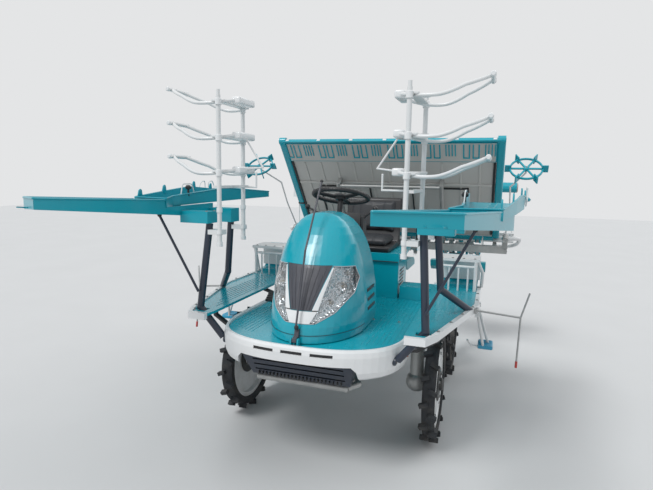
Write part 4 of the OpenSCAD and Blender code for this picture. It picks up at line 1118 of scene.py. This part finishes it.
def makeWheels():
    s = wheelForm
    for side in sides:
        name = sideName[side]
        front, rear = "front_wheel_" + name, "rear_wheel_" + name
        hub = mm(side * s["halfTrack"], *s["front"])
        axis = Vector((side, 0, 0))
        # the hub cover and the ring round it are black, painted shade for the dark open centre of the white
        # disc
        shape = bmesh.new()
        addTurned(shape, hub, axis,
                  [(0, 20), (94, 20), (97, 24), (94, 29), (60, 31), (52, 27), (40, 27), (36, 44),
                   (28, 50), (0, 51)], 48)
        addTurned(shape, hub, axis, [(58, -6), (100, -2), (100, 3), (58, -1)], 40, closed=True)
        finishPiece(shape, "frontHubShadeCover_" + name, "blackEnamel", front)
        spots = boltCircle(hub, side, 30.5, 75, 6, 30) + boltCircle(hub, side, 18.5, 178, 6)
        boltHeads("frontWheelBolts_" + name, spots, front, 8, 7)
        # the disc's two pressed rings
        shape = bmesh.new()
        addTurned(shape, hub, axis, [(196, 11), (203, 14), (210, 11), (210, 6), (196, 6)], 60, closed=True)
        addTurned(shape, hub, axis, [(139, 21), (145, 25), (151, 21), (151, 15), (139, 15)], 60, closed=True)
        finishPiece(shape, "frontDiscRings_" + name, "whiteEnamel", front)
        shape = bmesh.new()
        for r in (262, 284):
            for face in (-1, 1):
                bead = [(r, face * 26), (r + 4, face * 33), (r + 8, face * 26)]
                addTurned(shape, hub, axis, bead, 72, closed=True)
        finishPiece(shape, "frontTyreBeads_" + name, "tyreRubber", front)
        # the rear wheel's hub, and the pads that carry its rim on the spokes
        hub = mm(side * s["halfTrack"], *s["rear"])
        shape = bmesh.new()
        addTurned(shape, hub, axis,
                  [(0, 16), (50, 16), (54, 20), (50, 25), (32, 27), (30, 44), (20, 48), (0, 48)], 40)
        inner, outer = (boltCircle(hub, side, out, r, s["padCount"]) for out, r in ((4, 372), (6, 396)))
        for ends in zip(inner, outer):
            addTube(shape, [place for place, facing in ends], 20, sides=16, endRadius=26)
        finishPiece(shape, "rearHubCover_" + name, "blackEnamel", rear)
        boltHeads("rearWheelBolts_" + name, boltCircle(hub, side, 26.5, 40, 5, 36), rear, 7, 6)
        shape = bmesh.new()
        addTurned(shape, hub, axis, [(403, -24), (409, -25), (414, -19), (414, 19), (409, 25), (403, 24)],
                  72, closed=True)
        finishPiece(shape, "rearBead_" + name, "tyreRubber", rear)


makeWheels()
print("wheels dressed")

rotorForm = {"y": 2060, "z": 885, "tilt": -48, "caseEnd": 84, "armX": 150, "nearX": 92, "coverX": 110,
             "armTurn": math.radians(-40), "forkHalf": 0.012, "plateOut": 0.0185}


# a place in a plane square to the shafts: r along the angle, off to its left, both in millimetres
def turned(r, off, angle):
    return Vector((0, r * math.cos(angle) - off * math.sin(angle),
                   r * math.sin(angle) + off * math.cos(angle))) / 1000


def makeRotors():
    s = rotorForm
    bodies = {600: "rotor_left", 0: "rotor_centre", -600: "rotor_right"}
    for middle, body in bodies.items():
        caps, covers, arms, forks = (bmesh.new() for k in range(4))
        spots = []
        for side in sides:
            axis = Vector((side, 0, 0))
            for flip in (0, 180):
                a = math.radians(s["tilt"] + flip)
                y, z = s["y"] + s["caseEnd"] * math.cos(a), s["z"] + s["caseEnd"] * math.sin(a)
                end = mm(middle + side * s["armX"], y, z)
                near = mm(middle + side * s["nearX"], y, z)
                addTurned(caps, end, axis,
                          [(0, 13.5), (24, 13.5), (27, 16), (27, 24), (22, 29), (8, 30), (0, 30)], 28)
                addTurned(caps, end, -axis, [(13, 13.5), (22, 13.5), (24, 18), (20, 24), (13, 24)], 24)
                addTurned(caps, near, -axis, [(0, 17), (20, 17), (22, 20), (16, 25), (0, 26)], 24)
                # bolts along the long case's split line
                centre = mm(middle + side * s["coverX"], s["y"], s["z"])
                spots += [(centre + turned(r, w, a), axis) for r in (18, 44, 66) for w in (-22, 22)]
                tip = lambda r, off: end + turned(r, off, a + s["armTurn"])
                addTube(arms, [tip(8, 0), tip(44, 0)], 15, sides=14, endRadius=9)
                addTube(covers, [tip(40, 5), tip(56, 3)], 7.5, sides=10, endRadius=4)
                fork = Vector((side * s["forkHalf"], 0, 0))
                for w in sides:
                    prong = [tip(26, 8) + fork * w, tip(48, 11) + fork * w, tip(66, 6) + fork * w * 0.7]
                    addTube(forks, prong, 2.6, 10, 8, 1.6)
                addTube(forks, [tip(-14, 20), tip(34, 22), tip(56, 10)], 4, 14, 8)
                plate = [(-20, -12), (-8, 16), (40, 20), (58, 4), (40, -12)]
                addPrism(forks, plate, -2, 2, lambda u, v, w: tip(u, v) + axis * (s["plateOut"] + w / 1000),
                         1.2)
            addTurned(covers, centre, axis, [(0, 0), (26, 0), (26, 4), (18, 9), (0, 10)], 28)
        finishPiece(caps, "rotorCaps_" + body[6:], "tealAbs", body)
        finishPiece(forks, "armForks_" + body[6:], "zincPlate", body)
        finishPiece(arms, "armCovers_" + body[6:], "blackAbs", body)
        finishPiece(covers, "rotorFittings_" + body[6:], "zincPlate", body)
        boltHeads("rotorBolts_" + body[6:], spots, body, 4, 3.4)


def makePlanterDetails():
    s = rotorForm
    cast, guards, teal, links, springs = (bmesh.new() for k in range(5))
    spots = []
    sweep = [math.radians(122 - 8.5 * k) for k in range(17)]
    arc, back = ([(s["y"] + r * math.cos(a), s["z"] + (r - 6) * math.sin(a)) for a in sweep]
                 for r in (164, 160))
    for middle in (600, 0, -600):
        for side in sides:
            axis = Vector((side, 0, 0))
            hub = mm(middle + side * 44, s["y"], s["z"])
            addTurned(cast, hub, axis, [(20, -2), (50, -2), (50, 6), (44, 10), (20, 10)], 32, closed=True)
            spots += boltCircle(hub, side, 8.5, 36, 6, 15)
            x = middle + side * 34
            for y0, y1, z in ((1850, 1990, 905), (1850, 1960, 880)):
                addBlock(cast, (x - 4, y0, z - 4), (x + 4, y1, z + 4), 2.5)
            for y, z in ((1850, 918), (1920, 922), (1990, 924), (1850, 884), (1960, 868), (2110, 900)):
                addTurned(cast, mm(middle + side * 31, y, z), axis,
                          [(0, -2), (11, -2), (11, 6), (8, 8), (0, 8)], 16)
                spots.append((mm(middle + side * 39, y, z), axis))
            # curved guard beside each rotor, on a strap from the beam
            x = middle + side * 193
            strip = lambda line: [[mm(x + w, y, z) for y, z in line] for w in (-9, 9)]
            addSheet(guards, strip(arc), strip(back))
            addTube(guards, run([(0, 1820, 930), (0, 1890, 985), (0, 1970, 1014)], 1, x), 6, 40, 10)
            # swing links and their springs between the case and the guard
            upper = [(58, 1905, 946), (84, 1962, 962), (186, 1992, 1012)]
            lower = [(60, 1870, 866), (60, 1925, 838), (60, 1985, 826)]
            addTube(links, run(upper, side, middle), 5.5, 30, 10)
            addTube(links, run(lower, side, middle), 6, 24, 10)
            addTurned(teal, mm(middle + side * 60, 1925, 838), axis,
                      [(0, -11), (15, -11), (17, -6), (17, 6), (15, 11), (0, 11)], 20)
            addTurned(teal, mm(middle + side * 186, 1992, 1012), axis,
                      [(0, -14), (12, -14), (14, -8), (14, 8), (12, 14), (0, 14)], 20)
            helix = [mm(middle + side * 74 + 8 * math.cos(a), 1880 + a * 1.45, 905 + 8 * math.sin(a))
                     for a in (k * 0.6 for k in range(84))]
            addTube(springs, helix, 1.5, sides=6)
        addTurned(teal, mm(middle, 1960, 934), (0, 0.1, 1),
                  [(0, -4), (20, -4), (23, 2), (23, 12), (15, 18), (0, 19)], 28)
        addTurned(teal, mm(middle, 2138, 888), (0, 1, 0.1),
                  [(0, -12), (15, -12), (17, -2), (12, 4), (0, 5)], 24)
    finishPiece(cast, "gearCaseBosses", "castAluminium", "planter")
    finishPiece(guards, "rotorGuards", "whiteEnamel", "planter")
    finishPiece(links, "swingLinks", "blackEnamel", "planter")
    finishPiece(springs, "returnSprings", "zincPlate", "planter")
    tubes = bmesh.new()
    bend = [(980, 1850, 985), (1060, 1852, 1000), (1112, 1902, 990), (1096, 2000, 935), (1048, 2058, 906),
            (892, 2066, 900)]
    for side in sides:
        addTube(tubes, run(bend, side), 17, 46, 20)
        addBlock(tubes, (side * 979 - 17, 1835.3, 905), (side * 979 + 17, 1872, 992), 4)
    finishPiece(tubes, "guardTubes", "whiteEnamel", "planter", ["guard_tubes"])
    # knobs where the guard tubes leave the beam
    for side in sides:
        addTurned(teal, mm(side * 980, 1846, 990), (side * 0.2, 0, 1),
                  [(0, -8), (22, -8), (25, 0), (25, 12), (17, 22), (0, 24)], 28)
        spots += [(mm(side * 1005, 1800, z), Vector((side, 0, 0))) for z in (915, 885)]
    finishPiece(teal, "planterKnobs", "tealAbs", "planter")
    boltHeads("planterBolts", spots, "planter", 5, 4)
    # zig-zag slots of the guide rail between its gates
    shape = bmesh.new()
    reach, step, gateHalf = 1020, 40, 58
    for x in range(-reach, reach - 20, step):
        if all(abs(x + step / 2 - gate) > gateHalf for gate in rowMiddles):
            turns = [slope(x + across, up, 43.6) for across, up in ((0, -18), (step / 2, 14), (step, -18))]
            for ends in zip(turns, turns[1:]):
                addTube(shape, ends, 2.2, sides=6)
    for gate in rowMiddles:
        for x in (gate - 33, gate + 33):
            addBlock(shape, (x - 4, -24, 42), (x + 4, 20, 48), 1.5, slope)
    finishPiece(shape, "railZigzag", "greyAbs", "planter")
    # black dampers that stand up between the gear cases and the rail
    shape = bmesh.new()
    for x in (-390, -210, 210, 390):
        addTube(shape, run([(0, 1800, 932), (0, 1790, 1010), (0, 1772, 1056)], 1, x), 10, 20, 12)
        addBlock(shape, (x - 16, 1782, 930), (x + 16, 1818, 946), 4)
    finishPiece(shape, "planterDampers", "blackEnamel", "planter")


tubeForm = {"y": 1932, "z": 1450}


# a loop of wire through points, closed in the middle of its last stretch
def addLoop(shape, points, radius, cut):
    ends = [(points[-1] + points[0]) / 2]
    addTube(shape, ends + points + ends, radius, cut, 8)


def makeApplicator():
    s = tubeForm
    shape = bmesh.new()
    plate = lambda low, high: addPrism(shape, [(-1074, low), (-920, low), (-920, high), (-1074, high)],
                                       1991, 1993.5,
                                       fromBehind, 0.8)
    plate(1330, 1462)
    finishPiece(shape, "boxPanel", "blueAbs", "planter")
    shape = bmesh.new()
    plate(1468, 1494)
    for x in (-560, -160, 260, 700):
        addTurned(shape, mm(x, s["y"], s["z"]), (1, 0, 0), [(44, -11), (47.5, -11), (47.5, 11), (44, 11)],
                  40, closed=True)
        addBlock(shape, (x - 8, s["y"] - 8, 1493), (x + 8, s["y"] + 8, 1502), 2)
    finishPiece(shape, "tubeClamps", "tealEnamel", "planter")
    shape = bmesh.new()
    addTurned(shape, mm(1032, s["y"], s["z"]), (1, 0, 0),
              [(0, 0), (39.9, 0), (39.9, 24), (44.6, 26.2), (44.6, 30), (36, 36), (0, 37)], 40)
    finishPiece(shape, "tubeEndCap", "capResin", "planter")
    shape = bmesh.new()
    addLoop(shape, run([(-903, 1737, 1716), (-743, 1737, 1716), (-743, 1879, 1716), (-903, 1879, 1716)]),
            4.5, 14)
    addLoop(shape, run([(-863, 1813, 1561), (-765, 1813, 1561), (-765, 1909, 1561), (-863, 1909, 1561)]),
            3.6, 10)
    finishPiece(shape, "hopperLip", "capResin", "planter")
    # black hooked bracket beside the hopper, and the box's latch
    shape = bmesh.new()
    hook = [(-968, 1928, 1516), (-972, 1905, 1570), (-964, 1860, 1612), (-950, 1806, 1618),
            (-942, 1780, 1586)]
    addTube(shape, run(hook), 19, 30, 12, 8)
    addBlock(shape, (-994, 1912, 1512), (-946, 1944, 1528), 5)
    addBlock(shape, (-946, 1990, 1494), (-918, 1997, 1514), 2.5)
    finishPiece(shape, "boxBracket", "blackAbs", "planter")


makeRotors()
makePlanterDetails()
makeApplicator()
print("planter dressed")


def makeBodyDetails():
    for side in sides:
        name = sideName[side]
        shape = bmesh.new()
        addBlock(shape, (side * 874 - 44, 178, 504), (side * 874 + 44, 292, 532.5), 8, segments=3)
        for k in range(6):
            addBlock(shape, (side * 874 - 36, 190 + k * 17, 531), (side * 874 + 36, 196 + k * 17, 535), 1.5)
        finishPiece(shape, "stepPad_" + name, "blueAbs", "step_" + name)
    shape = bmesh.new()
    for side in sides:
        addTube(shape, run([(1046.4, 67, 495), (1045, 59, 462)], side), 7, sides=12)
    finishPiece(shape, "markerTips", "redEnamel", "vehicle")
    spots = []
    for side in sides:
        outward = Vector((side, 0, 0))
        for y in range(-520, 561, 180):
            x = 640 + 160 * (y + 560) / 650 if y < 90 else 800
            spots.append((mm(side * (x + 11), y, 798), upward))
        spots += [(mm(side * 205, y, 595), outward) for y in (-440, -300, -60, 120, 300, 520, 700, 880)]
        spots += [(mm(side * 146, y, z), outward) for y,
                  z in ((850, 700), (910, 680), (850, 760), (880, 860))]
        spots += [(mm(side * x, 470, 1002), upward) for x in (570, 640, 710, 780)]
        spots += [(mm(side * 560, y, 1320.4), upward) for y in (-560, -486)]
        spots += [(mm(side * x, -100, 700), upward) for x in (250, 400)]
    boltHeads("bodyBolts", spots, "vehicle", 6, 4.5)
    # panel seams of the pedestal as dark joints, and black blocks in its vents, painted shade for the dark of
    # the vent openings
    shape = bmesh.new()
    for side in sides:
        for k in range(5):
            addBlock(shape, (side * 285 - 3, 520, 780 + k * 24), (side * 285 + 3, 660, 789 + k * 24), 1.5)
        addBlock(shape, (side * 285 - 1.2, 470, 948), (side * 285 + 1.2, 775, 951), 0.5)
    addBlock(shape, (-280, 449, 948), (280, 466, 951), 0.5)
    finishPiece(shape, "pedestalSeamsAndVentShade", "blackAbs", "vehicle")
    # hydraulic pipes along the chassis, clipped to its rails
    shape = bmesh.new()
    rise = [(120, 210, 480), (120, 300, 520), (148, 420, 556)]
    addTube(shape, run(rise + [(148, 700, 556), (60, 800, 540)]), 6, 40, 10)
    addTube(shape, run(rise + [(148, 760, 556)], -1), 6, 40, 10)
    finishPiece(shape, "hydraulicPipes", "zincPlate", "vehicle")


makeBodyDetails()
print("body dressed")


stage = {"floorColours": ("c9caca", "c3c4c4"), "floorSize": 40.0, "sun": 1.8, "sky": 0.70,
         "camera": (0.873, -2.826, 1.509), "aim": (-0.316, 0.939, -0.135), "roll": 1.0, "focal": 0.7563}


def makeStage():
    made, tree, shader, place = startMaterial("studioFloor")
    cloud = noise(tree, place, 1.5, 3.0)
    feed(tree, shader, {"Base Color": blend(tree, cloud, *stage["floorColours"]), "Roughness": 0.9})
    half = stage["floorSize"] / 2
    mesh = bpy.data.meshes.new("floor")
    mesh.from_pydata([(-half, -half, 0), (half, -half, 0), (half, half, 0), (-half, half, 0)], [],
                     [(0, 1, 2, 3)])
    mesh.materials.append(made)
    floor = linkObject("floor", mesh)
    world = bpy.data.worlds.new("studioSky")
    bpy.context.scene.world = world
    world.use_nodes = True
    sky = world.node_tree
    sky.nodes.clear()
    path = addNode(sky, "ShaderNodeLightPath")
    camera, glossy, through = (path.outputs["Is " + ray + " Ray"]
                               for ray in ("Camera", "Glossy", "Transmission"))
    seen = combine(sky, "MAXIMUM", combine(sky, "MAXIMUM", camera, glossy), through)
    light = addNode(sky, "ShaderNodeBackground", {"Color": linear("eef1f5"), "Strength": stage["sky"]})
    shown = addNode(sky, "ShaderNodeBackground", {"Color": linear("e4e5e6"), "Strength": 1.0})
    both = addNode(sky, "ShaderNodeMixShader", {0: seen, 1: light.outputs[0], 2: shown.outputs[0]})
    addNode(sky, "ShaderNodeOutputWorld", {"Surface": both.outputs[0]})
    for name, power, size, place, turn in (
            ("keyLamp", stage["sun"], 0.35, (-4, -6, 9), (0.55, -0.35, 0)),
            ("fillLamp", stage["sun"] * 0.35, 0.8, (6, 5, 6), (-0.7, 0.6, 0))):
        lamp = bpy.data.lights.new(name, "SUN")
        lamp.energy = power
        lamp.angle = size
        holder = linkObject(name, lamp)
        holder.location = place
        holder.rotation_euler = turn


def makeCamera():
    data = bpy.data.cameras.new("camera")
    holder = linkObject("camera", data)
    data.sensor_fit = "HORIZONTAL"
    data.sensor_width = 36
    data.lens = stage["focal"] * 36
    data.clip_end = 200
    place = Vector(stage["camera"]) + Vector((0, axleY, 0))
    aim = Vector(stage["aim"]).normalized()
    side = aim.cross(upward).normalized()
    up = side.cross(aim)
    turn = Matrix.Rotation(math.radians(-stage["roll"]), 3, aim)
    side, up = turn @ side, turn @ up
    holder.matrix_world = Matrix.Translation(place) @ Matrix((side, up, -aim)).transposed().to_4x4()
    bpy.context.scene.camera = holder


makeStage()
makeCamera()
bpy.context.scene.view_settings.view_transform = "Standard"
print("stage, lamps and camera set")
